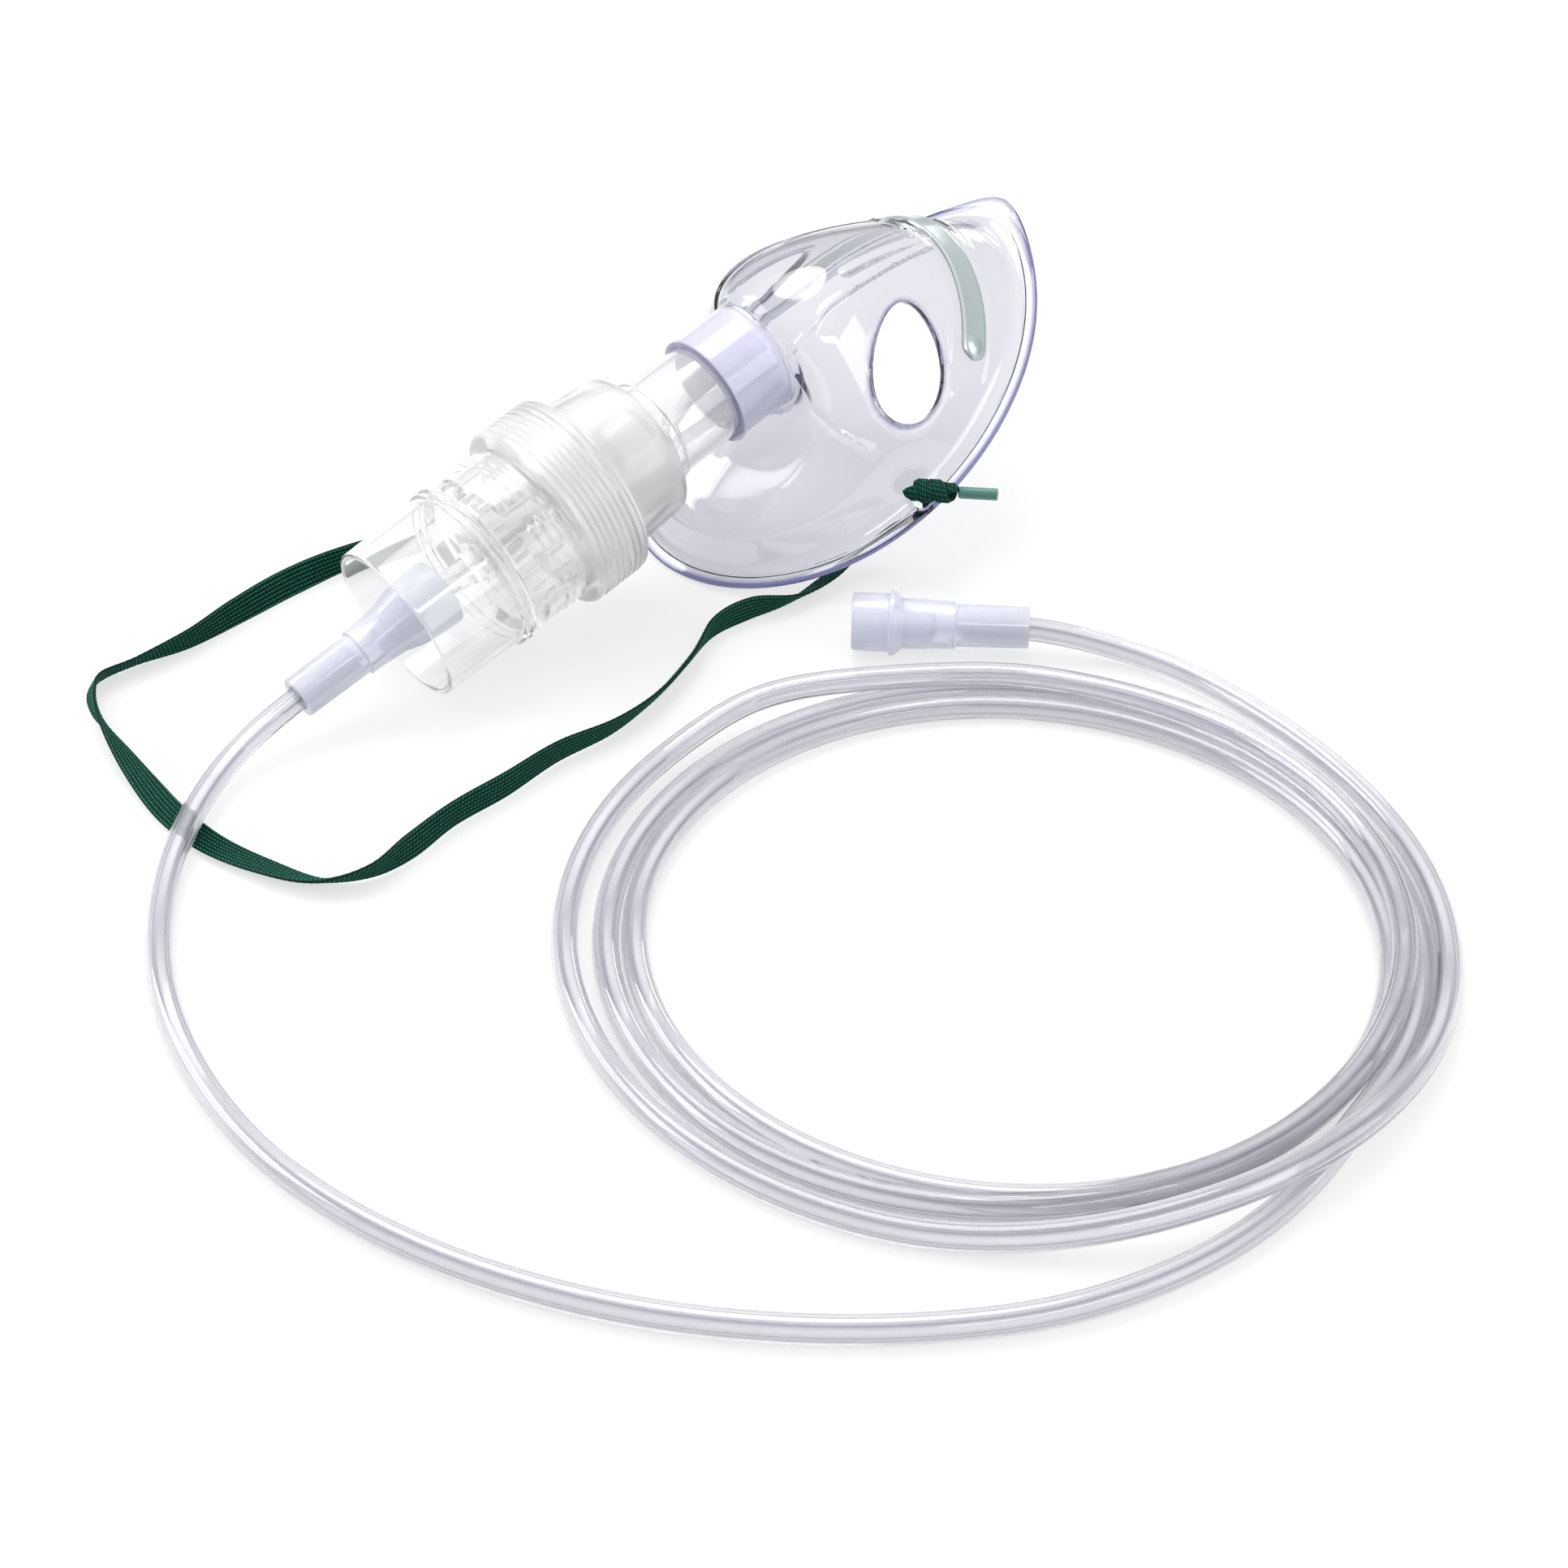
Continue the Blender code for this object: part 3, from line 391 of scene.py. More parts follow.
def smooth_route(points, spacing):
    """Catmull-Rom curve through the points, as evenly spaced rows of metres."""
    nodes = [np.array(p, float) for p in points]
    nodes = [2 * nodes[0] - nodes[1]] + nodes + [2 * nodes[-1] - nodes[-2]]
    rows = []
    for a, b, c, d in zip(nodes, nodes[1:], nodes[2:], nodes[3:]):
        u = np.linspace(0, 1, 24, endpoint=False)[:, None]
        square, cube = 2 * a - 5 * b + 4 * c - d, 3 * b - a - 3 * c + d
        rows.append(0.5 * (2 * b + (c - a) * u + square * u**2 + cube * u**3))
    rows.append(nodes[-2][None, :])
    return resample(np.concatenate(rows), spacing)


def walked_along(points):
    """Distance along the points from the first to each."""
    return np.concatenate([[0], np.cumsum(np.linalg.norm(np.diff(points, axis=0), axis=1))])


def resample(rows, spacing):
    walked = walked_along(rows[:, :3])
    count = max(2, int(round(walked[-1] / spacing)) + 1)
    where = np.linspace(0, walked[-1], count)
    return np.stack([np.interp(where, walked, rows[:, k]) for k in range(rows.shape[1])], axis=1)


def eased_bends(rows, reach):
    """The route with its bends spread over the reach. Its ends stay where they are."""
    count = int(3 * reach / TUBE_STEP)
    shares = np.exp(-0.5 * (np.arange(-count, count + 1) * TUBE_STEP / reach) ** 2)
    before, after = 2 * rows[0] - rows[count:0:-1], 2 * rows[-1] - rows[-2:-count - 2:-1]
    padded = np.concatenate([before, rows, after])
    return np.stack([np.convolve(line, shares / shares.sum(), "valid") for line in padded.T], axis=1)


def eased(value, keys):
    """Smooth value between (position, value) keys."""
    places = np.array([k[0] for k in keys], float)
    levels = np.array([k[1] for k in keys], float)
    spot = np.clip(np.searchsorted(places, value) - 1, 0, len(places) - 2)
    share = np.clip((value - places[spot]) / (places[spot + 1] - places[spot]), 0, 1)
    share = share * share * (3 - 2 * share)
    return levels[spot] * (1 - share) + levels[spot + 1] * share


def polar_route(keys, centre, start, step=3.0):
    """Points on turns about a centre, from keys of angle, radius and height."""
    turned = np.arange(keys[0][0], keys[-1][0] + step / 2, step)
    radius = eased(turned, [(k[0], k[1]) for k in keys]) * MM
    height = eased(turned, [(k[0], k[2]) for k in keys]) * MM
    angle = np.radians(turned + start)
    return np.stack([centre[0] + radius * np.cos(angle), centre[1] + radius * np.sin(angle), height], axis=1)


def tubing_route():
    """Centreline from the jar connector's stop, round the coil, to the supply connector's stop."""
    axis = jar_axis()
    stop = JAR_MOUTH + axis * (JAR_BELL_STATION - CONNECTOR_LENGTH + SLEEVE_DEPTH - GAP)
    out = JAR_MOUTH + axis * (JAR_BELL_STATION - CONNECTOR_LENGTH - 3 * MM)
    lead = [stop, out] + [np.array(p) * MM for p in LEAD_ROUTE]
    bundle = polar_route(BUNDLE, COIL_CENTRE, -59.0)
    loop = polar_route(LOOP, LOOP_CENTRE, 0.0)
    heading = wall_heading()
    tail = [np.array(p) * MM for p in TAIL_ROUTE]
    tail += [WALL_CONNECTOR_END - heading * 3 * MM, WALL_CONNECTOR_END + heading * (SLEEVE_DEPTH - GAP)]
    points = lead + list(bundle[::5]) + list(loop[1::5]) + tail
    return eased_bends(smooth_route(points, TUBE_STEP), TUBE_EASE)


def frames_along(points):
    """A pair of directions across the route that turn as little as they can along it."""
    ahead = np.gradient(points, axis=0)
    ahead /= np.linalg.norm(ahead, axis=1)[:, None]
    side = np.cross(ahead[0], [0, 0, 1.0])
    side /= np.linalg.norm(side)
    sides = []
    for direction in ahead:
        side = side - direction * (side @ direction)
        side /= np.linalg.norm(side)
        sides.append(side)
    sides = np.array(sides)
    return sides, np.cross(ahead, sides)


def mark(obj, name, values):
    """Keeps a number for each point of the mesh, which its material reads."""
    layer = obj.data.attributes.new(name, "FLOAT", "POINT")
    layer.data.foreach_set("value", values.astype(np.float32))


def hose(name, points, outer, bore, material, sides=20):
    """A tube with its star-shaped bore and flat cut ends, as one closed mesh."""
    side, up = frames_along(points)
    angle = np.arange(sides) * 2 * math.pi / sides
    rings = []
    star = bore * (1 + STAR_DEPTH * np.cos(STAR_POINTS * angle))[None, :, None]
    for radius, rows in ((outer, slice(None)), (star, slice(None, None, -1))):
        across = side[rows][:, None, :] * np.cos(angle)[None, :, None]
        across = across + up[rows][:, None, :] * np.sin(angle)[None, :, None]
        rings.append(points[rows][:, None, :] + across * radius)
    grid = np.concatenate(rings)
    obj = mesh_object(name, grid.reshape(-1, 3), grid_faces(len(grid), sides, True, True), material, sharp=60)
    # Painted shade: a share that is 1 along each point of the bore, where the tube's material darkens its
    # colour to stand in for refraction streaks.
    line = (0.5 + 0.5 * np.cos(STAR_POINTS * angle)) ** 2
    mark(obj, "line", np.tile(line, len(grid)))
    return obj


# Mask surface, in the mask's frame

PORT_AXIS = FACE_TILT - JAR_TILT
PORT_IN = np.array([0, math.cos(PORT_AXIS), -math.sin(PORT_AXIS)])
PORT_UP = np.array([0, math.sin(PORT_AXIS), math.cos(PORT_AXIS)])
ACROSS = np.array([1.0, 0, 0])
PORT_CENTRE = (JAR_MOUTH + jar_axis() * PORT_STATION - FACE_CENTRE) @ face_axes()


def unit(rows):
    return rows / np.linalg.norm(rows, axis=-1, keepdims=True)


def col(values):
    return np.asarray(values)[..., None]


def nose_share(t, spread):
    """1 at the nose, falling away on both sides."""
    return np.exp(-((np.arctan2(np.sin(t), np.cos(t)) / spread) ** 2))


def rim_line(t):
    x = MASK_WIDTH / 2 * np.sin(t) * (1 - RIM_PEAR * np.cos(t))
    x = x * (1 - NOSE_PINCH * nose_share(t, 1.4 * NOSE_SPREAD))
    y = MASK_LENGTH / 2 * np.cos(t) + NOSE_STRETCH * nose_share(t, NOSE_SPREAD)
    z = NOSE_RISE * nose_share(t, NOSE_SPREAD) - RIM_SWEEP * np.sin(t) ** 2
    return np.stack([x, y, z], axis=-1)


def flange_line(t, share, rise=0.0):
    """Top of the flange, from its edge at 0 to the wall's foot at 1, lifted by the rise."""
    nose = nose_share(t, NOSE_SPREAD)
    width = FLANGE_WIDTH * (1 + NOSE_FLARE * nose)
    drop = np.stack([nose * 0, nose * 0, rise - NOSE_RISE * nose * share], axis=-1)
    return rim_line(t) - rim_out(t) * col(width * share) + drop


def rim_out(t):
    return unit(rim_line(t) * np.array([1, 0.8, 0]))


def port_radial(t):
    return col(np.cos(t)) * PORT_UP + col(np.sin(t)) * ACROSS


def mask_surface(t, v):
    """Outer face of the wall, from the flange's foot at v = 0 to the port at v = 1."""
    t, v = np.broadcast_arrays(np.asarray(t, float), np.asarray(v, float))
    nose = np.maximum(0, np.cos(t))
    chin = np.maximum(0, -np.cos(t))
    side = np.abs(np.sin(t))
    out = rim_out(t)
    start = flange_line(t, 1.0, FLANGE_RISE)
    radial = port_radial(t)
    end = PORT_CENTRE + radial * (PORT_BORE + PORT_WALL)
    lean = 0.32 + 0.55 * nose**2 + 0.15 * chin
    rise = unit(-out * col(lean) + np.array([0, 0, 1.0]))
    reach = CHEEK_REACH * side**2 + RIDGE_REACH * nose**2 + CHIN_REACH * chin**2
    flare = 0.42 * nose**2 + side**2 + 0.6 * chin**2
    leave = unit(col(np.cos(t) * 0.92) * PORT_IN + radial * col(flare))
    length = (22 * nose**2 + 16 * side**2 + 16 * chin**2) * MM
    w, v = col(1 - v), col(v)
    point = start * w**3 + (start + rise * col(reach)) * 3 * w * w * v
    point = point + (end + leave * col(length)) * 3 * w * v * v + end * v**3
    angle = np.abs(np.arctan2(np.sin(t), np.cos(t)))
    dent = np.exp(-(((angle - 1.05) / 0.42) ** 2)) * np.exp(-(((v[..., 0] - 0.45) / 0.24) ** 2))
    core = np.array([0, 5 * MM, 6 * MM])
    return point + unit(core - point) * col(PANEL_DENT * dent)


def mask_normal(t, v):
    step = 0.004
    along = mask_surface(t, np.minimum(v + step, 1)) - mask_surface(t, np.maximum(v - step, 0))
    around = mask_surface(t + step, v) - mask_surface(t - step, v)
    normal = unit(np.cross(along, around))
    away = mask_surface(t, v) - MASK_INSIDE
    return normal * col(np.where((normal * away).sum(-1) > 0, 1, -1))


def vent_axes(side):
    t = np.array(VENT_SPOKE * side)
    centre = mask_surface(t, VENT_RING)
    normal = mask_normal(t, VENT_RING)
    top = mask_surface(np.array(VENT_TOP[0] * side), VENT_TOP[1]) - centre
    long_way = unit(top - normal * (top @ normal))
    return centre, normal, long_way, np.cross(normal, long_way)


def vent_outline(side, count=72, grow=0.0):
    """Egg outline of a vent, with its narrow end to the nose."""
    centre, _, long_way, wide_way = vent_axes(side)
    a = np.arange(count) * 2 * math.pi / count
    width = (VENT_WIDTH / 2 + grow) * (1 - VENT_EGG * np.cos(a))
    return centre + col(np.cos(a) * (VENT_LENGTH / 2 + grow)) * long_way + col(np.sin(a) * width) * wide_way


def egg_distance(points, side):
    """Roughly how far each point is outside the vent's outline."""
    centre, normal, long_way, wide_way = vent_axes(side)
    offset = points - centre
    a, b = offset @ long_way / (VENT_LENGTH / 2), offset @ wide_way
    turn = a / np.maximum(np.hypot(a, b / (VENT_WIDTH / 2)), 1e-6)
    b = b / (VENT_WIDTH / 2 * (1 - VENT_EGG * turn))
    far = np.abs(offset @ normal) > 12 * MM
    return np.where(far, 1.0, (np.hypot(a, b) - 1) * 10.5 * MM)


def ridge_line(points, line, width):
    """1 on a polyline of points and falling to 0 at the width from it."""
    line = np.asarray(line, float)
    best = np.full(points.shape[:-1], 1e9)
    for a, b in zip(line, line[1:]):
        share = np.clip(((points - a) @ (b - a)) / ((b - a) @ (b - a)), 0, 1)
        best = np.minimum(best, np.linalg.norm(points - (a + col(share) * (b - a)), axis=-1))
    return np.exp(-((best / width) ** 2))


def surface_line(keys, side, count=24):
    """Points on the wall along keys of spoke angle in degrees and ring share."""
    spots = np.linspace(0, 1, count)
    places = np.linspace(0, 1, len(keys))
    t = np.radians(np.interp(spots, places, [k[0] for k in keys])) * side
    return mask_surface(t, np.interp(spots, places, [k[1] for k in keys]))


CREASES = (
    ((67, 0.99), (46, 0.76), (36, 0.53), (24, 0.28)),
    ((92, 0.99), (108, 0.84), (108, 0.59), (105, 0.31)),
)
BLISTER = ((31, 0.63), (27, 0.49), (20, 0.27))
POCKET_REACH = 0.085
RIM_MARKS = 720


def clip_ring(t):
    """Ring share of the clip's middle: nearer the rim at its ends."""
    return CLIP_RING - CLIP_SLOPE * (np.hypot(t, 0.4) - 0.4)


def mask_relief(points):
    """Height of the moulded marks on the outer face: vent beads, panel creases, ridge marks."""
    height = np.zeros(points.shape[:-1])
    for side in (1, -1):
        height += 0.55 * MM * np.exp(-(((egg_distance(points, side) - 0.55 * MM) / (0.65 * MM)) ** 2))
        centre, _, long_way, _ = vent_axes(side)
        nub = centre + long_way * (VENT_LENGTH / 2 + 1.6 * MM)
        height += 0.7 * MM * np.exp(-((np.linalg.norm(points - nub, axis=-1) / (1.1 * MM)) ** 2))
        for keys in CREASES:
            height += 0.6 * MM * ridge_line(points, surface_line(keys, side), 0.8 * MM)
        height += 0.45 * MM * ridge_line(points, surface_line(BLISTER, side), 0.9 * MM)
        t = CLIP_SPOKE * np.linspace(-1.03, 1.03, 40)
        pocket = mask_surface(t, clip_ring(t) + side * POCKET_REACH)
        height += 0.4 * MM * ridge_line(points, pocket, 0.6 * MM)
    return height


# Flange from the wall's foot to its edge: share of its width, and rise in millimetres
FLANGE_STEPS = (
    (0.90, 1.55), (0.80, 1.05), (0.70, 0.65), (0.58, 0.30),
    (0.50, 0.50), (0.44, 0.18), (0.30, 0.05), (0.14, 0.0),
)


def mask_profile_rows(t):
    """Outer face rows from the port's lip to the flange's edge, with each row's wall thickness."""
    rows, walls = [], []

    def add(points, wall):
        rows.append(points)
        walls.append(wall)

    radial = port_radial(t)
    for along, extra in (
        (1.0, PORT_LIP - 0.25 * MM), (0.985, PORT_LIP), (0.95, PORT_LIP), (0.94, 0.05 * MM),
        (0.8, 0.0), (0.6, 0.0), (0.4, 0.0), (0.2, 0.0), (0.15, 0.0), (0.125, 0.22 * MM), (0.10, 0.0),
        (0.08, 0.0), (0.055, 0.3 * MM), (0.03, 0.0),
    ):
        ring = PORT_CENTRE + radial * (PORT_BORE + PORT_WALL + extra) - PORT_IN * PORT_LENGTH * along
        add(ring, PORT_WALL + extra)
    for v in np.linspace(1, 0, settings().mask_rings):
        add(mask_surface(t, v), MASK_WALL + (PORT_WALL - MASK_WALL) * max(0.0, v - 0.95) / 0.05)
    for share, rise in FLANGE_STEPS:
        add(flange_line(t, share, rise * MM), MASK_WALL)
    return np.array(rows), np.array(walls)


def grid_normals(grid):
    """Unit normals of a grid of rows that wrap along their second axis."""
    down = np.gradient(grid, axis=0)
    around = (np.roll(grid, -1, axis=1) - np.roll(grid, 1, axis=1)) / 2
    return unit(np.cross(around, down))


def build_mask():
    t = np.arange(settings().mask_spokes) * 2 * math.pi / settings().mask_spokes
    outer, walls = mask_profile_rows(t)
    normals = grid_normals(outer)
    middle = len(outer) // 2
    if (normals[middle] * (outer[middle] - MASK_INSIDE)).sum() < 0:
        normals = -normals
    inner = outer - normals * walls[:, None, None]
    outer = outer + normals * col(mask_relief(outer))
    out = rim_out(t)
    half = MASK_WALL / 2
    edge_centre = rim_line(t) - out * half - np.array([0, 0, half])
    edge = []
    for turn in np.radians((70, 40, 10, -20, -50, -80)):
        edge.append(edge_centre + out * half * math.cos(turn) + np.array([0, 0, half * math.sin(turn)]))
    grid = np.concatenate([outer, np.array(edge), inner[::-1]])
    shell = mesh_object(
        "mask_shell_look", face_world(grid.reshape(-1, 3)),
        grid_faces(len(grid), len(t), True, True), finish("soft_shell"),
    )
    cutters = []
    for side in (1, -1):
        normal = vent_axes(side)[1]
        outline = vent_outline(side)
        cutters.append(prism("vent_cut", [outline + normal * d for d in (-9 * MM, 9 * MM)]))
        place = tie_place(side)
        angle = np.arange(24) * 2 * math.pi / 24
        ring = place + np.stack([np.cos(angle), np.sin(angle), angle * 0], axis=1) * TIE_HOLE
        cutters.append(prism("tie_cut", [ring + np.array([0, 0, d]) for d in (-6 * MM, 6 * MM)]))
    cut(shell, cutters)
    mark_shell(shell)
    dress(shell, "clear_pvc", "mask_shell")


def mark_shell(shell):
    """Marks where the plastic is milky (the port's collar), and its rim and vent edges, which get a violet
    painted shade standing in for their refraction.
    """
    points = np.empty(len(shell.data.vertices) * 3)
    shell.data.vertices.foreach_get("co", points)
    local = (points.reshape(-1, 3) - FACE_CENTRE) @ face_axes()
    offset = local - PORT_CENTRE
    out = -offset @ PORT_IN
    away = np.linalg.norm(offset + col(out) * PORT_IN, axis=1)
    milk = np.clip(out / (2.5 * MM), 0, 1) * (away < PORT_BORE + PORT_WALL + 2 * MM)
    rim = KDTree(RIM_MARKS)
    for i, place in enumerate(rim_line(np.linspace(0, 2 * math.pi, RIM_MARKS, endpoint=False))):
        rim.insert(place, i)
    rim.balance()
    # Painted shade: dark violet within about 2 mm of the rim, standing in for the refraction at the shell's
    # edge.
    edge = np.array([np.clip(1.9 - rim.find(p)[2] / MM, 0, 1) for p in local])
    # The same painted shade, a little weaker, rings each vent's edge.
    for side in (1, -1):
        edge = np.maximum(edge, 0.8 * np.clip(1.6 - np.abs(egg_distance(local, side)) / (0.5 * MM), 0, 1))
    mark(shell, "milk", milk)
    mark(shell, "edge", edge)


def prism(name, rings):
    """Closed solid between two rings of points given in the mask's frame."""
    count = len(rings[0])
    points = face_world(np.concatenate(rings))
    faces = [tuple(range(count)), tuple(range(count, 2 * count))]
    faces += grid_faces(2, count, False, True)
    obj = mesh_object(name, points, faces, finish("soft_shell"), sharp=40)
    obj.hide_render = True
    return obj


def tie_place(side):
    t = np.array(TIE_SPOKE * side)
    return rim_line(t) - rim_out(t) * FLANGE_WIDTH * TIE_INSET


def build_clip():
    """Bent strip over the nose with round ends, a shallow crown and a peg head at each end."""
    count = 140
    half = CLIP_WIDTH / 2
    t = CLIP_SPOKE * np.linspace(-1, 1, count)
    ring = clip_ring(t)
    middle = mask_surface(t, ring)
    walked = walked_along(middle)
    from_end = np.minimum(walked, walked[-1] - walked)
    inset = np.maximum(0, half - from_end)
    reach = np.maximum(np.sqrt(np.maximum(half**2 - inset**2, 0)), 0.12 * half)
    stretch = np.linalg.norm(mask_surface(t, ring + 0.03) - mask_surface(t, ring - 0.03), axis=1) / 0.06
    shares = np.linspace(-1, 1, 15)
    rows = []
    for lift, order in ((1, 1), (0, -1)):
        for share in shares[::order]:
            v = ring + share * reach / stretch
            rim = 1 - max(0.0, abs(share) - 0.86) / 0.14 * 0.35
            height = GAP + lift * CLIP_THICKNESS * rim
            if lift:
                round_head = np.exp(-(((from_end - half) ** 2 + (share * reach) ** 2) / (1.7 * MM) ** 2) ** 2)
                height = height + 0.35 * MM * round_head - 0.12 * MM * (1 - share**2)
            rows.append(mask_surface(t, v) + mask_normal(t, v) * col(height))
    points = face_world(np.array(rows).reshape(-1, 3))
    faces = capped_faces(len(rows), count)
    clip = mesh_object("nose_clip_look", points, faces, finish("clip_metal"), sharp=40)
    dress(clip, "aluminium", "nose_clip")


# Nebuliser

def neb_matrix():
    return along_matrix(JAR_MOUTH, jar_axis())


def jar_outline():
    skirt_in = JAR_SKIRT_RADIUS - JAR_WALL
    floor_top = JAR_FLOOR + JAR_FLOOR_THICKNESS
    body_in = JAR_BODY_RADIUS - JAR_WALL
    return [
        (JAR_SKIRT_RADIUS, 0),
        *about(
            JAR_BODY_RADIUS, JAR_FLOOR, (-0.35, -2.6), (0.45, -2.2), (0.45, -1.5), (-0.1, -1.1),
            (-0.1, -0.6), (0.6, -0.3), (0.6, 0.3), (-0.1, 0.7),
        ),
        *about(JAR_BODY_RADIUS, JAR_SHOULDER, (0, -1)),
        (NECK_RADIUS, JAR_SHOULDER),
        (NECK_RADIUS, NECK_END),
        (NECK_RADIUS - JAR_WALL, NECK_END),
        *about(body_in, JAR_SHOULDER, (-0.8, -4)),
        *about(body_in, floor_top, (-1.0, 4.5), (-4.0, 1.6)),
        *about(JET_RADIUS, floor_top, (3.0, 0), (1.2, 1.5)),
        (JET_RADIUS, JET_END),
        (JET_BORE, JET_END),
        *about(JET_BORE, JAR_FLOOR, (0, -1)),
        *about(NIPPLE_BORE, JAR_FLOOR, (0, -4)),
        *about(NIPPLE_BORE, 0, (0, 5)),
        *about(NIPPLE_RADIUS, 0, (-0.4, 5)),
        *about(NIPPLE_RADIUS, JAR_FLOOR, (0, -3), (1.2, 0)),
        (skirt_in + 0.6 * MM, JAR_FLOOR),
        (skirt_in, 0),
    ]


def jar_threads(radius, station, angle):
    """A two-start screw ridge on the outside of the upper body."""
    phase = (station / THREAD_PITCH - angle / math.pi) % 1.0
    ridge = np.clip(1 - np.abs(phase - 0.5) / 0.3, 0, 1) ** 0.7
    window = np.clip((station - 31 * MM) / (1.5 * MM), 0, 1) * np.clip((38 * MM - station) / (1 * MM), 0, 1)
    outside = radius > JAR_BODY_RADIUS - 0.6 * MM
    return radius + THREAD_RISE * ridge * window * outside


def build_jar():
    outline = dense(rounded(jar_outline()), 0.45 * MM)
    jar = lathe("jar_look", outline, neb_matrix(), finish("clear_jar"), 144, jar_threads)
    rib = rib_block("jar_rib", *JAR_RIB)
    join_into(jar, [ring_of(rib, JAR_RIBS, neb_matrix(), finish("clear_jar"))])
    dress(jar, "clear_plastic", "jar")


def rib_block(name, size, place):
    """A small upright block in millimetres, to be set round an axis."""
    made = bmesh.new()
    bmesh.ops.create_cube(made, size=1)
    bmesh.ops.scale(made, vec=[s * MM for s in size], verts=made.verts)
    bmesh.ops.translate(made, vec=[p * MM for p in place], verts=made.verts)
    bmesh.ops.bevel(made, geom=made.edges[:], offset=min(size) * MM * 0.3, segments=2, affect="EDGES")
    mesh = bpy.data.meshes.new(name)
    made.to_mesh(mesh)
    made.free()
    return linked(name, mesh)


def ring_group():
    """Geometry Nodes group that sets a piece round the Z axis a number of times."""
    if "Ring of pieces" in bpy.data.node_groups:
        return bpy.data.node_groups["Ring of pieces"]
    group = bpy.data.node_groups.new("Ring of pieces", "GeometryNodeTree")
    face = group.interface
    face.new_socket("Geometry", in_out="INPUT", socket_type="NodeSocketGeometry")
    face.new_socket("Piece", in_out="INPUT", socket_type="NodeSocketObject")
    face.new_socket("Count", in_out="INPUT", socket_type="NodeSocketInt").default_value = 12
    face.new_socket("Turn", in_out="INPUT", socket_type="NodeSocketFloat")
    face.new_socket("Material", in_out="INPUT", socket_type="NodeSocketMaterial")
    face.new_socket("Geometry", in_out="OUTPUT", socket_type="NodeSocketGeometry")
    inputs = group.nodes.new("NodeGroupInput").outputs
    points = node(group, "GeometryNodePoints", {"Count": inputs["Count"]})
    piece = node(group, "GeometryNodeObjectInfo", {"Object": inputs["Piece"]}, transform_space="ORIGINAL")
    index = node(group, "GeometryNodeInputIndex")
    share = maths(group, "DIVIDE", index.outputs[0], inputs["Count"])
    angle = maths(group, "MULTIPLY_ADD", share, 2 * math.pi, inputs["Turn"])
    turn = node(group, "ShaderNodeCombineXYZ", {"Z": angle})
    place = node(group, "GeometryNodeInstanceOnPoints", {
        "Points": points.outputs[0], "Instance": piece.outputs["Geometry"], "Rotation": turn.outputs[0],
    })
    real = node(group, "GeometryNodeRealizeInstances", {0: place.outputs[0]})
    coat = node(group, "GeometryNodeSetMaterial", {
        "Geometry": real.outputs[0], "Material": inputs["Material"],
    })
    node(group, "NodeGroupOutput", {0: coat.outputs[0]})
    return group


def ring_of(piece, count, matrix, material, turn=0.0):
    """The piece set round the matrix's Z axis, as one plain mesh."""
    name = piece.name + "_ring"
    holder = linked(name, bpy.data.meshes.new(name))
    step = holder.modifiers.new("ring", "NODES")
    step.node_group = ring_group()
    keys = {i.name: i.identifier for i in step.node_group.interface.items_tree if i.in_out == "INPUT"}
    step[keys["Piece"]] = piece
    step[keys["Count"]] = count
    step[keys["Turn"]] = turn
    step[keys["Material"]] = material
    bpy.context.view_layer.update()
    apply_modifiers(holder)
    holder.data.transform(matrix)
    bpy.data.objects.remove(piece)
    return holder


def dress(obj, slot, *nodes):
    """The piece stands for its nodes and rides on the set. Its slot is not used."""
    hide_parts(*nodes)
    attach(obj, "root")


def dome_flutes(radius, station, angle):
    """Faint flat bands round the outside of the cap's dome."""
    window = np.clip((station - 56.5 * MM) / (2 * MM), 0, 1) * np.clip((67.5 * MM - station) / (2 * MM), 0, 1)
    outside = radius > DOME_TOP_RADIUS - 0.4 * MM
    return radius + 0.14 * MM * np.cos(angle * DOME_FLUTES) * window * outside


def build_cap():
    ring_in = NECK_RADIUS + GAP
    start = CAP_RING_START + 2.2 * MM
    pitch = (CAP_RING_END - 1.8 * MM - start) / CAP_RIDGES
    outer = about(CAP_RING_RADIUS, CAP_RING_START, (-0.9, 0), (-0.1, 0.7))
    outer += about(CAP_RING_RADIUS, start, (-0.1, -0.3))
    for i in range(CAP_RIDGES):
        base = start + i * pitch
        for share, rise in ((0.1, -0.55), (0.28, -0.15), (0.5, 0.0), (0.72, -0.1), (0.92, -0.4)):
            outer.append((CAP_RING_RADIUS + rise * MM, base + share * pitch))
    outer += about(CAP_RING_RADIUS, CAP_RING_END, (-0.6, -1.4), (-0.2, -1.1), (-0.9, -0.2), (-1.9, 0))
    outer += about(DOME_RADIUS, CAP_RING_END, (0.8, 0.15), (0.1, 1.0))
    outer += about(DOME_TOP_RADIUS, DOME_END, (0, -2.6), (-0.35, -1.3), (-1.2, -0.4), (-2.6, 0))
    socket = ADAPTER_RADIUS - 0.6 * MM + GAP
    inner = [
        (socket, DOME_END),
        (socket, DOME_END - SOCKET_DEPTH),
        (socket + CAP_WALL, DOME_END - SOCKET_DEPTH),
        (socket + CAP_WALL, DOME_END - CAP_WALL - 1 * MM),
        (DOME_TOP_RADIUS - CAP_WALL - 1.2 * MM, DOME_END - CAP_WALL),
        (DOME_RADIUS - CAP_WALL, CAP_RING_END),
        (DOME_RADIUS - CAP_WALL, NECK_END + GAP),
        (ring_in, NECK_END + GAP),
        (ring_in, JAR_SHOULDER + 0.6 * MM),
        (ring_in + 1.2 * MM, CAP_RING_START),
    ]
    outline = dense(rounded(outer + inner, 0.2 * MM), 1.2 * MM)
    cap = lathe("nebuliser_cap_look", outline, neb_matrix(), finish("milky"), 180, dome_flutes)
    dress(cap, "frosted", "nebuliser_cap")


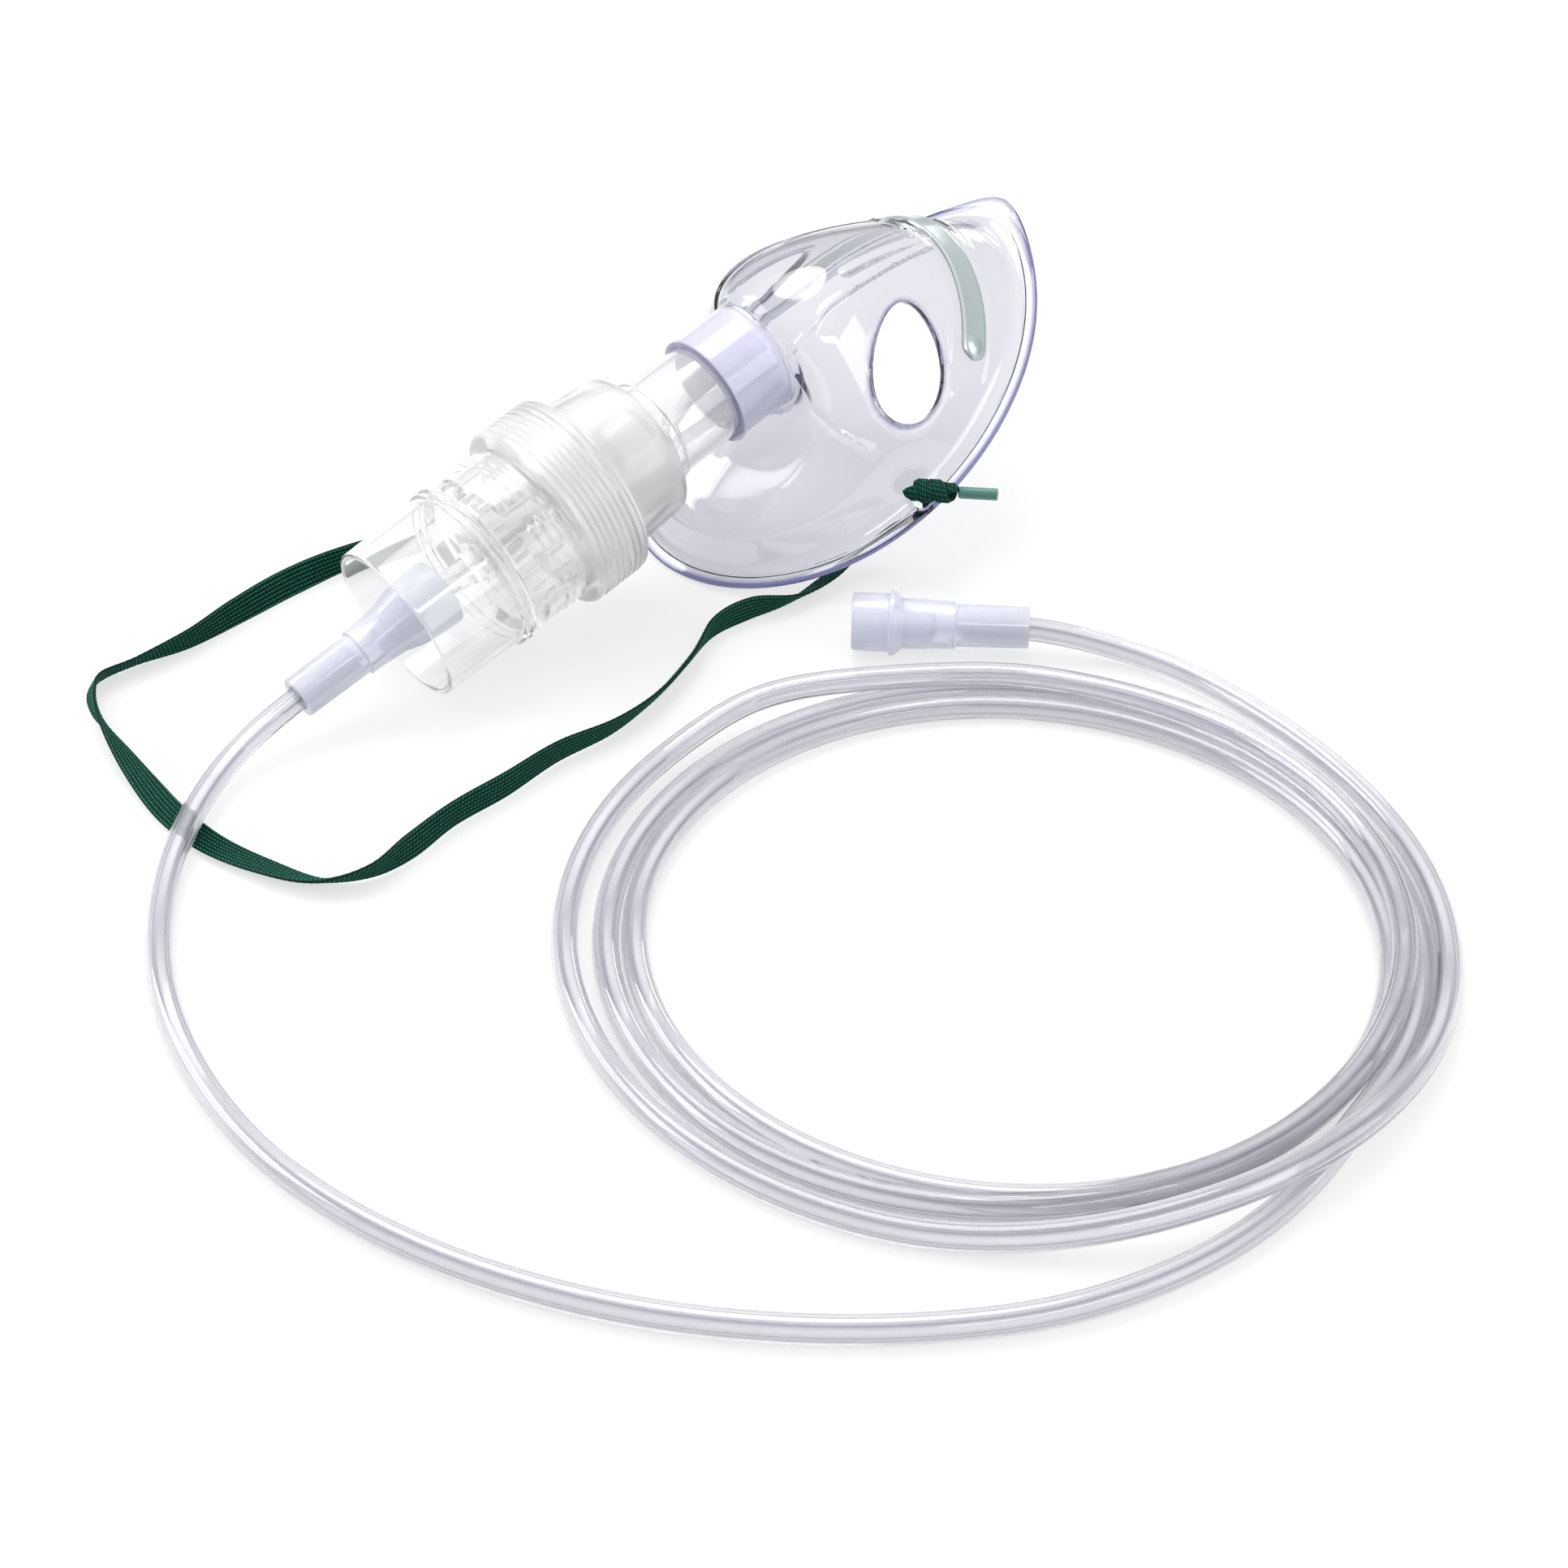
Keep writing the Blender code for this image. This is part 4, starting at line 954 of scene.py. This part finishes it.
def build_adapter():
    flange = DOME_END + GAP
    tube_end = PORT_STATION - PORT_LENGTH - GAP
    plug_end = tube_end + ADAPTER_PLUG
    low = ADAPTER_RADIUS - 0.6 * MM
    plug = PORT_BORE - GAP
    bore = low - ADAPTER_WALL
    outline = [
        (low, DOME_END - SOCKET_DEPTH + 1 * MM),
        (low, flange),
        *about(
            ADAPTER_RADIUS, flange, (0.5, 0), (0.5, 1.2), (0.1, 1.6), (0.1, 3.4), (0.5, 3.6), (0.5, 4.0),
            (0.1, 4.3),
        ),
        (ADAPTER_RADIUS - 0.2 * MM, tube_end),
        (plug, tube_end),
        (plug - 0.3 * MM, plug_end),
        (bore - 0.2 * MM, plug_end),
        (bore, DOME_END - SOCKET_DEPTH + 1 * MM),
    ]
    adapter = lathe("outlet_adapter_look", rounded(outline), neb_matrix(), finish("hazy"), 128)
    dress(adapter, "clear_plastic", "outlet_adapter")


def build_cone():
    foot = JAR_FLOOR + JAR_FLOOR_THICKNESS + 2.2 * MM
    outline = [
        (JET_RADIUS + 2.2 * MM + CONE_WALL, foot),
        (JET_RADIUS + 1.0 * MM + CONE_WALL, CONE_TOP - 3 * MM),
        (JET_RADIUS + 0.9 * MM + CONE_WALL, CONE_TOP),
        (JET_BORE + 0.6 * MM, CONE_TOP),
        (JET_BORE + 0.6 * MM, CONE_TOP - 1.6 * MM),
        (JET_RADIUS + 0.9 * MM, CONE_TOP - 3.2 * MM),
        (JET_RADIUS + 2.2 * MM, foot),
    ]
    cone = lathe("jet_cone_look", rounded(outline), neb_matrix(), finish("inner_plastic"), 64)
    fin = rib_block("cone_fin", *CONE_FIN)
    turn = math.pi / CONE_FINS
    join_into(cone, [ring_of(fin, CONE_FINS, neb_matrix(), finish("inner_plastic"), turn)])
    dress(cone, "clear_plastic", "jet_cone")


def connector_outline(bell, ridge):
    bore = settings().tube_diameter / 2 + GAP
    stop = CONNECTOR_LENGTH - SLEEVE_DEPTH
    shoulder = 8.4 * MM
    outer = about(bell, 0, (-0.2, 0), (0, 0.4))
    if ridge:
        outer += [
            (bell + 0.1 * MM, shoulder - 0.3 * MM),
            (bell + ridge, shoulder),
            (bell + ridge, shoulder + 0.9 * MM),
            (SLEEVE_RADIUS + 1.1 * MM, shoulder + 3 * MM),
        ]
    else:
        outer += about(bell, 0, (-0.3, 5), (-0.7, 9.5)) + about(SLEEVE_RADIUS, 0, (1.3, 14))
    outer += about(SLEEVE_RADIUS, CONNECTOR_NECK, (0.65, -0.4), (0.8, 0), (0.15, 0.35))
    outer.append((SLEEVE_RADIUS, CONNECTOR_LENGTH))
    nipple = NIPPLE_RADIUS + GAP
    inner = [
        (bore, CONNECTOR_LENGTH),
        (bore, stop),
        (NIPPLE_BORE, stop),
        (NIPPLE_BORE, 19 * MM),
        *about(nipple, 0, (-0.2, 18), (0, 9), (0.6, 6)),
        (bell - 1.5 * MM, 0),
    ]
    return rounded(outer + inner, 0.2 * MM)


def build_connectors():
    """Both funnel connectors. They lie on the tubing."""
    axis = jar_axis()
    near = along_matrix(JAR_MOUTH + axis * JAR_BELL_STATION, -axis)
    outline = connector_outline(JAR_BELL_RADIUS, 0)
    jar_end = lathe("jar_connector_look", outline, near, finish("lilac"), 96)
    heading = wall_heading()
    far = along_matrix(WALL_CONNECTOR_END + heading * CONNECTOR_LENGTH, -heading)
    outline = connector_outline(WALL_BELL_RADIUS, WALL_RIDGE)
    wall_end = lathe("wall_connector_look", outline, far, finish("lilac"), 96)
    dress(jar_end, "lilac_pvc", "jar_connector")
    dress(wall_end, "lilac_pvc", "wall_connector")


def build_tubing():
    route = tubing_route()
    wide = settings().tube_diameter
    tube = hose("tubing", route, wide / 2, TUBE_BORE / 2, finish("clear_tube"), settings().tube_sides)
    dress(tube, "clear_plastic", "tubing_lead", "tubing_coil", "tubing_tail")


# Strap

def strap_rows():
    """Places along the strap between its two knots, with lean and size, in metres and degrees."""
    front = face_front()
    ends = []
    for side in (1, -1):
        hole = face_world(tie_place(side)[None, :])[0]
        ends.append([hole + front * 3.0 * MM, hole - front * 3.0 * MM])
    rows = [np.append(ends[0][0], (0, 0.34)), np.append(ends[0][1], (0, 0.36))]
    for i, (x, y, z, lean) in enumerate(STRAP_ROUTE):
        edge = min(i, len(STRAP_ROUTE) - 1 - i)
        rows.append(np.array([x * MM, y * MM, z * MM, lean, (0.6, 0.9)[edge] if edge < 2 else 1.0]))
    rows += [np.append(ends[1][1], (0, 0.36)), np.append(ends[1][0], (0, 0.34))]
    return smooth_route(rows, settings().strap_step)


def band(name, rows, width, thickness, material, columns=43):
    """Braided band along rows of place, lean and size. UV runs in millimetres along and across."""
    points = rows[:, :3]
    ahead = unit(np.gradient(points, axis=0))
    level = np.cross([0, 0, 1.0], ahead)
    short = np.linalg.norm(level, axis=1) < 0.25
    level[short] = np.array([0.75, -0.66, 0])
    level = unit(level - ahead * col((level * ahead).sum(1)))
    up = np.cross(ahead, level)
    lean = np.radians(rows[:, 3])
    wide = level * col(np.cos(lean)) + up * col(np.sin(lean))
    thick = np.cross(ahead, wide)
    walked = walked_along(points)
    across = np.linspace(-1, 1, columns)
    grid, uv = [], []
    for face in (1, -1):
        spots = across if face > 0 else across[::-1]
        for a in spots:
            edge = math.sqrt(max(0.0, 1 - abs(a) ** 6))
            rib = abs(math.sin((a + 1) / 2 * math.pi * STRAP_RIBS))
            phase = walked / WEAVE_PITCH + (a + 1) * 1.6 * face
            weave = WEAVE_HEIGHT * rib * (0.5 + 0.5 * np.sin(phase * 2 * math.pi))
            half = thickness / 2 * (1 + 0.7 * (1 - rows[:, 4])) * edge
            height = half * (0.45 + 0.55 * rib) + weave * edge
            grid.append(points + wide * col(width / 2 * rows[:, 4] * a) + thick * col(face * height))
            uv.append(np.stack([walked / MM, np.full(len(walked), (a + 1) / 2 * BRAID_SPAN)], axis=1))
    return strand(name, grid, uv, material)


def strand(name, grid, uv, material):
    """Closed mesh from rows of points that run along a strand."""
    faces = capped_faces(len(grid), len(grid[0]))
    return mesh_object(name, np.array(grid).reshape(-1, 3), faces, material, uv=np.array(uv).reshape(-1, 2))


def knot_way(side):
    way = np.array([0.62, -0.78, 0.05] if side > 0 else [0.90, 0.30, 0.32])
    return way / np.linalg.norm(way)


def knot_centre(side):
    hole = face_world(tie_place(side)[None, :])[0]
    return hole + face_front() * (KNOT_RADIUS + 1.2 * MM) + knot_way(side) * KNOT_LENGTH * 0.28


def build_knot(side):
    """Overhand knot: the band wound round itself three times, then the bound end."""
    way = knot_way(side)
    centre = knot_centre(side)
    up = unit(np.array([0, 0, 1.0]) - way * way[2])
    across = np.cross(way, up)
    turns = np.linspace(0, 1, 260)
    angle = turns * 2 * math.pi * KNOT_TURNS + 0.6
    swell = np.sin(np.clip(turns * 1.1, 0, 1) * math.pi) ** 0.5
    radius = (1.35 + 0.75 * swell) * MM
    along = (turns - 0.5) * (KNOT_LENGTH - 3.4 * MM) + 0.5 * MM * np.sin(angle * 0.5)
    around = col(np.cos(angle) * radius) * up + col(np.sin(angle) * radius) * across
    points = centre + col(along) * way + around
    return wound("knot_wrap", points, centre, way, *KNOT_BAND)


def wound(name, points, centre, way, width, thickness):
    """Flat strand that lies on its wide face round the axis."""
    ahead = unit(np.gradient(points, axis=0))
    offset = points - centre
    radial = unit(offset - col(offset @ way) * way)
    wide = unit(np.cross(ahead, radial))
    walked = walked_along(points)
    columns = 18
    spots = np.arange(columns) * 2 * math.pi / columns
    grid, uv = [], []
    for s in spots:
        a, b = math.cos(s), math.sin(s)
        rib = 1 + 0.10 * math.cos(s * 6)
        grid.append(points + wide * (width / 2 * a * rib) + radial * (thickness / 2 * b * rib))
        uv.append(np.stack([walked / MM, np.full(len(walked), (a + 1) / 2 * BRAID_SPAN)], axis=1))
    return strand(name, grid, uv, finish("braid"))


def build_strap():
    rows = strap_rows()
    wide = settings().strap_width
    strap = band("strap_look", rows, wide, STRAP_THICKNESS, finish("braid"))
    knots = [build_knot(side) for side in (1, -1)]
    join_into(strap, knots)
    strap.data.shade_smooth()
    tips = [build_tip(side, name) for side, name in ((1, "strap_tip_near"), (-1, "strap_tip_far"))]
    dress(strap, "green_elastic", "strap")


def build_tip(side, name):
    """Clear sleeve shrunk on the strap's end."""
    way = knot_way(side)
    start = knot_centre(side) + way * (KNOT_LENGTH / 2 + GAP - 0.6 * MM)
    outline = [
        (TIP_RADIUS * 0.8, 0),
        (TIP_RADIUS, 0.5 * MM),
        (TIP_RADIUS, TIP_LENGTH),
        (TIP_RADIUS - 0.45 * MM, TIP_LENGTH),
        (TIP_RADIUS - 0.5 * MM, 0.6 * MM),
        (TIP_RADIUS * 0.4, 0),
    ]
    outline = rounded(outline, 0.12 * MM)
    tip = lathe(name + "_look", outline, along_matrix(start, way), finish("teal_sleeve"), 32)
    dress(tip, "clear_plastic", name)
    return tip


# Finishes

# How far light spreads under the surface of soft and of frosted plastic
VINYL_DEPTH = {"Subsurface_Radius": (0.003, 0.003, 0.004), "Subsurface_Scale": 1.0}
FROST_DEPTH = {"Subsurface_Radius": (0.012, 0.012, 0.012), "Subsurface_Scale": 1.0}


def node(tree, kind, inputs=(), **values):
    """Adds a node. Each input named gets another node's output or a value of its own."""
    made = tree.nodes.new(kind)
    for key, value in values.items():
        setattr(made, key, value)
    for key, value in dict(inputs).items():
        feed(tree, made.inputs[key], value)
    return made


def feed(tree, socket, value):
    if isinstance(value, bpy.types.NodeSocket):
        tree.links.new(value, socket)
    else:
        socket.default_value = value


def maths(tree, operation, *values):
    return node(tree, "ShaderNodeMath", enumerate(values), operation=operation).outputs[0]


def principled(name, colour, roughness, **values):
    """A new material. A value's name is its input's, with _ for a space."""
    material = bpy.data.materials.new(name)
    material.use_nodes = True
    shader = material.node_tree.nodes["Principled BSDF"]
    shader.inputs["Base Color"].default_value = (*colour, 1)
    shader.inputs["Roughness"].default_value = roughness
    for key, value in values.items():
        shader.inputs[key.replace("_", " ")].default_value = value
    return material, material.node_tree, shader


def absorb(tree, colour, density):
    """Tint that grows with the way through the plastic."""
    volume = node(tree, "ShaderNodeVolumeAbsorption", {"Color": (*colour, 1), "Density": density})
    tree.links.new(volume.outputs[0], tree.nodes["Material Output"].inputs["Volume"])


def raised(tree, shader, height, strength, distance):
    """Bump from the height."""
    bump = node(tree, "ShaderNodeBump", {"Height": height, "Strength": strength, "Distance": distance})
    tree.links.new(bump.outputs[0], shader.inputs["Normal"])


def ripple(tree, shader, scale, strength, distance=0.0004):
    """Soft unevenness of a moulded face."""
    place = node(tree, "ShaderNodeTexCoord").outputs["Object"]
    noise = node(tree, "ShaderNodeTexNoise", {"Vector": place, "Scale": scale, "Detail": 2})
    raised(tree, shader, noise.outputs["Fac"], strength, distance)


def attribute(tree, name):
    return node(tree, "ShaderNodeAttribute", attribute_name=name).outputs["Fac"]


def blend(tree, share, low, high):
    """A number that runs from low to high with the share."""
    return node(tree, "ShaderNodeMapRange", {"Value": share, "To Min": low, "To Max": high}).outputs[0]


def mixed_colour(tree, share, first, second):
    """A colour that runs from the first to the second with the share."""
    return node(tree, "ShaderNodeMix", {"Factor": share, 6: first, 7: second}, data_type="RGBA").outputs[2]


def opaque(colour):
    return (*colour, 1)


def make_soft_shell():
    """Clear soft plastic that greys with depth. Its tint carries painted shade for the shadowed table seen
    through it, its rim and vent edges get a violet painted shade standing in for their refraction, and the
    collar is milky lilac.
    """
    material, tree, shader = principled(
        "soft_shell", (0.97, 0.97, 0.99), 0.03, IOR=1.3, Coat_Weight=1.0, Coat_Roughness=0.03, **VINYL_DEPTH
    )
    milk = attribute(tree, "milk")
    for name, clear, milky in (
        ("Transmission Weight", 1.0, 0.4), ("Roughness", 0.03, 0.16), ("Subsurface Weight", 0.0, 0.3),
    ):
        tree.links.new(blend(tree, milk, clear, milky), shader.inputs[name])
    edge = attribute(tree, "edge")
    # Painted shade: the tint greys the plastic for the shadowed table seen through it, and the edge mark
    # mixes in dark violet for the refraction at the rim and vent edges.
    tint = mixed_colour(tree, edge, opaque(settings().shell_tint_and_shade), opaque(settings().painted_edge_shade))
    tree.links.new(mixed_colour(tree, milk, tint, (0.66, 0.66, 0.82, 1)), shader.inputs["Base Color"])
    absorb(tree, (0.43, 0.44, 0.66), 26)
    ripple(tree, shader, 55, 0.25)
    return material


def make_clear_tube():
    """Clear tubing with darker painted shade lines where its bore's points are, standing in for the streaks
    that refraction in the bore makes.
    """
    material, tree, shader = principled(
        "clear_tube", (0.93, 0.93, 0.962), 0.05, IOR=1.27,
        Transmission_Weight=0.88, Coat_Weight=1.0, Coat_Roughness=0.05,
    )
    # Painted shade: the tube's colour darkens along the bore's points.
    tint = mixed_colour(tree, attribute(tree, "line"), (0.935, 0.935, 0.955, 1), (0.50, 0.50, 0.57, 1))
    tree.links.new(tint, shader.inputs["Base Color"])
    return material


def make_lilac():
    return principled(
        "lilac", settings().connector_colour, 0.16, IOR=1.4,
        Transmission_Weight=0.55, Subsurface_Weight=0.4, Coat_Weight=0.5, **VINYL_DEPTH,
    )[0]


def make_clip_metal():
    material, tree, shader = principled("clip_metal", (0.45, 0.51, 0.50), 0.25, Metallic=0.7, Coat_Weight=0.6)
    ripple(tree, shader, 300, 0.2, 0.0002)
    return material


def make_braid():
    """Braided elastic: cords side by side with slanting stitches, from UV in millimetres, with painted shade
    in the grooves between the cords.
    """
    material, tree, shader = principled("braid", (0.003, 0.045, 0.03), 0.7, Specular_IOR_Level=0.12)

    def step(operation, *values):
        return maths(tree, operation, *values)

    place = node(tree, "ShaderNodeTexCoord").outputs["UV"]
    split = node(tree, "ShaderNodeSeparateXYZ", {0: place})
    along, across = split.outputs["X"], split.outputs["Y"]
    cord = step("MULTIPLY", across, STRAP_RIBS / BRAID_SPAN)
    crown = step("POWER", step("ABSOLUTE", step("SINE", step("MULTIPLY", cord, math.pi))), 1.8)
    slant = step("MULTIPLY", cord, 0.8)
    shift = step("MULTIPLY", step("FLOOR", cord), 0.45)
    turn = step("ADD", step("ADD", step("DIVIDE", along, STITCH), slant), shift)
    stitch = step("MULTIPLY_ADD", step("SINE", step("MULTIPLY", turn, 2 * math.pi)), 0.35, 0.65)
    noise = node(tree, "ShaderNodeTexNoise", {"Vector": place, "Scale": 1.3})
    # Painted shade: the tone falls to near black in the grooves between cords, where the crown is 0. The bump
    # from it is real relief.
    level = step("MULTIPLY", step("MULTIPLY", crown, stitch), step("ADD", noise.outputs["Fac"], 0.45))
    ramp = node(tree, "ShaderNodeValToRGB", {"Fac": level})
    # Near black: painted shade in the grooves.
    ramp.color_ramp.elements[0].color = (0.0005, 0.009, 0.006, 1)
    ramp.color_ramp.elements[1].color = opaque(settings().strap_colour)
    ramp.color_ramp.elements.new(0.5).color = (0.001, 0.040, 0.028, 1)
    tree.links.new(ramp.outputs["Color"], shader.inputs["Base Color"])
    raised(tree, shader, level, 0.7, 0.0003)
    return material


# Finishes with no pattern: colour, roughness, and the shader's other values
PLAIN = {
    "clear_jar": ((0.972, 0.976, 0.98), 0.04, dict(
        IOR=1.19, Transmission_Weight=0.87, Coat_Weight=0.8, Coat_Roughness=0.04)),
    "hazy": ((0.965, 0.968, 0.97), 0.04, dict(
        IOR=1.25, Transmission_Weight=0.84, Coat_Weight=1.0, Coat_Roughness=0.06)),
    "inner_plastic": ((0.97, 0.975, 0.98), 0.1, dict(IOR=1.15, Transmission_Weight=0.85)),
    "milky": ((0.978, 0.984, 0.985), 0.18, dict(
        IOR=1.3, Transmission_Weight=0.76, Subsurface_Weight=0.5, Coat_Weight=0.4, Coat_Roughness=0.15,
        **FROST_DEPTH)),
    "teal_sleeve": ((0.06, 0.19, 0.16), 0.1, dict(Alpha=0.75)),
}

MAKERS = {
    "soft_shell": make_soft_shell,
    "clear_tube": make_clear_tube,
    "lilac": make_lilac,
    "clip_metal": make_clip_metal,
    "braid": make_braid,
}


def finish(name):
    """The material of that name, made when it is first asked for."""
    if name in bpy.data.materials:
        return bpy.data.materials[name]
    if name in MAKERS:
        return MAKERS[name]()
    colour, roughness, values = PLAIN[name]
    return principled(name, colour, roughness, **values)[0]


# Stage

def photo_place(right, away, height):
    """A place given as seen in the picture, about the set's middle, in metres."""
    turn = CAMERA_TURN
    x = right * math.cos(turn) - away * math.sin(turn)
    y = right * math.sin(turn) + away * math.cos(turn)
    return Vector((x - 0.05, y - 0.10, height))


# Softboxes: place right, away and up as seen in the picture, size, power in watts and form
SOFTBOXES = {
    "overhead": ((0, 0.15, 1.5), (2.2, 2.2), 4),
    "round_key": ((-0.15, 0.50, 1.28), (0.9, 0.9), 9, "DISK"),
    "window": ((-0.92, 0.20, 0.62), (0.85, 0.5), 8),
    "fill": ((0.9, -0.35, 0.5), (0.8, 0.6), 3),
    "back_strip": ((0.45, 0.95, 0.30), (0.25, 0.1), 0.5),
    "front_strip": ((0.5, -0.8, 0.9), (0.6, 0.12), 1.5),
}


def softbox(name, place, size, power, form="RECTANGLE"):
    """An area light that faces the set's middle."""
    light = bpy.data.lights.new(name, "AREA")
    light.shape = form
    light.size, light.size_y = size
    light.energy = power
    obj = linked(name, light)
    obj.location = photo_place(*place)
    obj.rotation_euler = (photo_place(0, 0, 0) - obj.location).to_track_quat("-Z", "Y").to_euler()


def build_table():
    """Plain pale floor that is bright enough to show white."""
    made = bmesh.new()
    bmesh.ops.create_grid(made, x_segments=1, y_segments=1, size=6)
    mesh = bpy.data.meshes.new("table")
    made.to_mesh(mesh)
    made.free()
    material = principled(
        "table_white", (0.25, 0.25, 0.25), 0.9, Specular_IOR_Level=0.1,
        Emission_Color=(1, 1, 1, 1), Emission_Strength=0.65,
    )[0]
    mesh.materials.append(material)
    linked("table", mesh)


def build_sky():
    """Light from all round: white from above, grey from the sides and below."""
    world = bpy.data.worlds.new("studio")
    bpy.context.scene.world = world
    world.use_nodes = True
    tree = world.node_tree
    place = node(tree, "ShaderNodeTexCoord").outputs["Generated"]
    split = node(tree, "ShaderNodeSeparateXYZ", {0: place})
    height = maths(tree, "MULTIPLY_ADD", split.outputs["Z"], 0.5, 0.5)
    ramp = node(tree, "ShaderNodeValToRGB", {"Fac": height})
    low, high = ramp.color_ramp.elements
    low.position, low.color = 0.5, (0.46, 0.47, 0.50, 1)
    high.position, high.color = 0.86, (1.0, 1.0, 1.0, 1)
    background = tree.nodes["Background"]
    tree.links.new(ramp.outputs["Color"], background.inputs["Color"])
    background.inputs["Strength"].default_value = 1.0


def build_camera():
    camera = linked("camera", bpy.data.cameras.new("camera"))
    camera.data.lens = CAMERA_LENS
    camera.data.sensor_width = CAMERA_SENSOR
    camera.location = CAMERA_PLACE
    camera.rotation_euler = (CAMERA_TILT, 0, CAMERA_TURN)
    bpy.context.scene.camera = camera


def build_stage():
    view = bpy.context.scene.view_settings
    view.view_transform = "Standard"
    view.look = "None"
    build_table()
    build_sky()
    for name, values in SOFTBOXES.items():
        softbox(name, *values)
    build_camera()


# Add-on

def size_setting(name, description, default, low, high):
    """A length in metres, shown in the scene's units."""
    return bpy.props.FloatProperty(
        name=name, description=description, default=default, min=low, max=high,
        subtype="DISTANCE", unit="LENGTH", precision=4,
    )


def colour_setting(name, description, default):
    return bpy.props.FloatVectorProperty(
        name=name, description=description, default=default, min=0, max=1, size=3, subtype="COLOR"
    )


class NebuliserSettings(bpy.types.PropertyGroup):
    tube_diameter: size_setting(
        "Tubing diameter", "Outside of the tubing. Its sleeves' bores follow", 5.4 * MM, 4 * MM, 7 * MM
    )
    strap_width: size_setting("Strap width", "Width of the flat elastic", 6.6 * MM, 4 * MM, 10 * MM)
    strap_step: size_setting("Strap step", "Distance between the strap's rows", 0.5 * MM, 0.3 * MM, 3 * MM)
    mask_spokes: bpy.props.IntProperty(
        name="Mask spokes", description="Points round the mask", default=280, min=48, max=320
    )
    mask_rings: bpy.props.IntProperty(
        name="Mask rings", description="Rows from the mask's port to its rim", default=90, min=12, max=120
    )
    tube_sides: bpy.props.IntProperty(
        name="Tubing sides", description="Points round the tubing", default=30, min=10, max=40
    )
    # Painted shade: the grey in this tint stands in for the shadowed table seen through the shell. Its faint
    # lilac is the plastic's own.
    shell_tint_and_shade: colour_setting("Mask tint", "Colour of the clear shell", (0.735, 0.74, 0.785))
    # Painted shade: dark violet standing in for the refraction at the shell's rim and vent edges.
    painted_edge_shade: colour_setting("Edge tint", "Colour of the shell's cut edges", (0.06, 0.06, 0.24))
    connector_colour: colour_setting("Connectors", "Colour of both connectors", (0.77, 0.785, 0.885))
    strap_colour: colour_setting("Strap", "Colour of the braid's crowns", (0.015, 0.24, 0.155))


def settings():
    return bpy.context.scene.nebuliser_mask


class BuildOperator:
    bl_options = {"REGISTER", "UNDO"}

    def execute(self, context):
        for build in self.builders:
            build()
        return {"FINISHED"}


class NEBULISER_OT_mask(BuildOperator, bpy.types.Operator):
    """Soft shell and nose clip"""

    bl_idname = "nebuliser.mask"
    bl_label = "Mask"
    builders = (build_mask, build_clip)


class NEBULISER_OT_jar(BuildOperator, bpy.types.Operator):
    """Jar, baffle cone, cap and outlet adapter"""

    bl_idname = "nebuliser.jar"
    bl_label = "Jar and cap"
    builders = (build_jar, build_cone, build_cap, build_adapter)


class NEBULISER_OT_tubing(BuildOperator, bpy.types.Operator):
    """Both connectors and the tubing between them"""

    bl_idname = "nebuliser.tubing"
    bl_label = "Tubing"
    builders = (build_connectors, build_tubing)


class NEBULISER_OT_strap(BuildOperator, bpy.types.Operator):
    """Braided strap with its knots and sleeves"""

    bl_idname = "nebuliser.strap"
    bl_label = "Strap"
    builders = (build_strap,)


class NEBULISER_OT_stage(BuildOperator, bpy.types.Operator):
    """Table, lights and camera"""

    bl_idname = "nebuliser.stage"
    bl_label = "Stage"
    builders = (build_stage,)


class NEBULISER_PT_panel(bpy.types.Panel):
    bl_label = "Nebuliser mask set"
    bl_idname = "NEBULISER_PT_panel"
    bl_space_type = "VIEW_3D"
    bl_region_type = "UI"
    bl_category = "Nebuliser"

    def draw(self, context):
        for name in NebuliserSettings.__annotations__:
            self.layout.prop(context.scene.nebuliser_mask, name)
        for operator in OPERATORS:
            self.layout.operator(operator.bl_idname)


OPERATORS = (
    NEBULISER_OT_stage,
    NEBULISER_OT_tubing,
    NEBULISER_OT_mask,
    NEBULISER_OT_jar,
    NEBULISER_OT_strap,
)
CLASSES = (NebuliserSettings,) + OPERATORS + (NEBULISER_PT_panel,)


def register():
    for item in CLASSES:
        bpy.utils.register_class(item)
    bpy.types.Scene.nebuliser_mask = bpy.props.PointerProperty(type=NebuliserSettings)


def unregister():
    del bpy.types.Scene.nebuliser_mask
    for item in reversed(CLASSES):
        bpy.utils.unregister_class(item)


def main():
    register()
    bpy.ops.nebuliser.stage()
    bpy.ops.nebuliser.tubing()
    bpy.ops.nebuliser.mask()
    bpy.ops.nebuliser.jar()
    bpy.ops.nebuliser.strap()


if __name__ == "__main__":
    main()
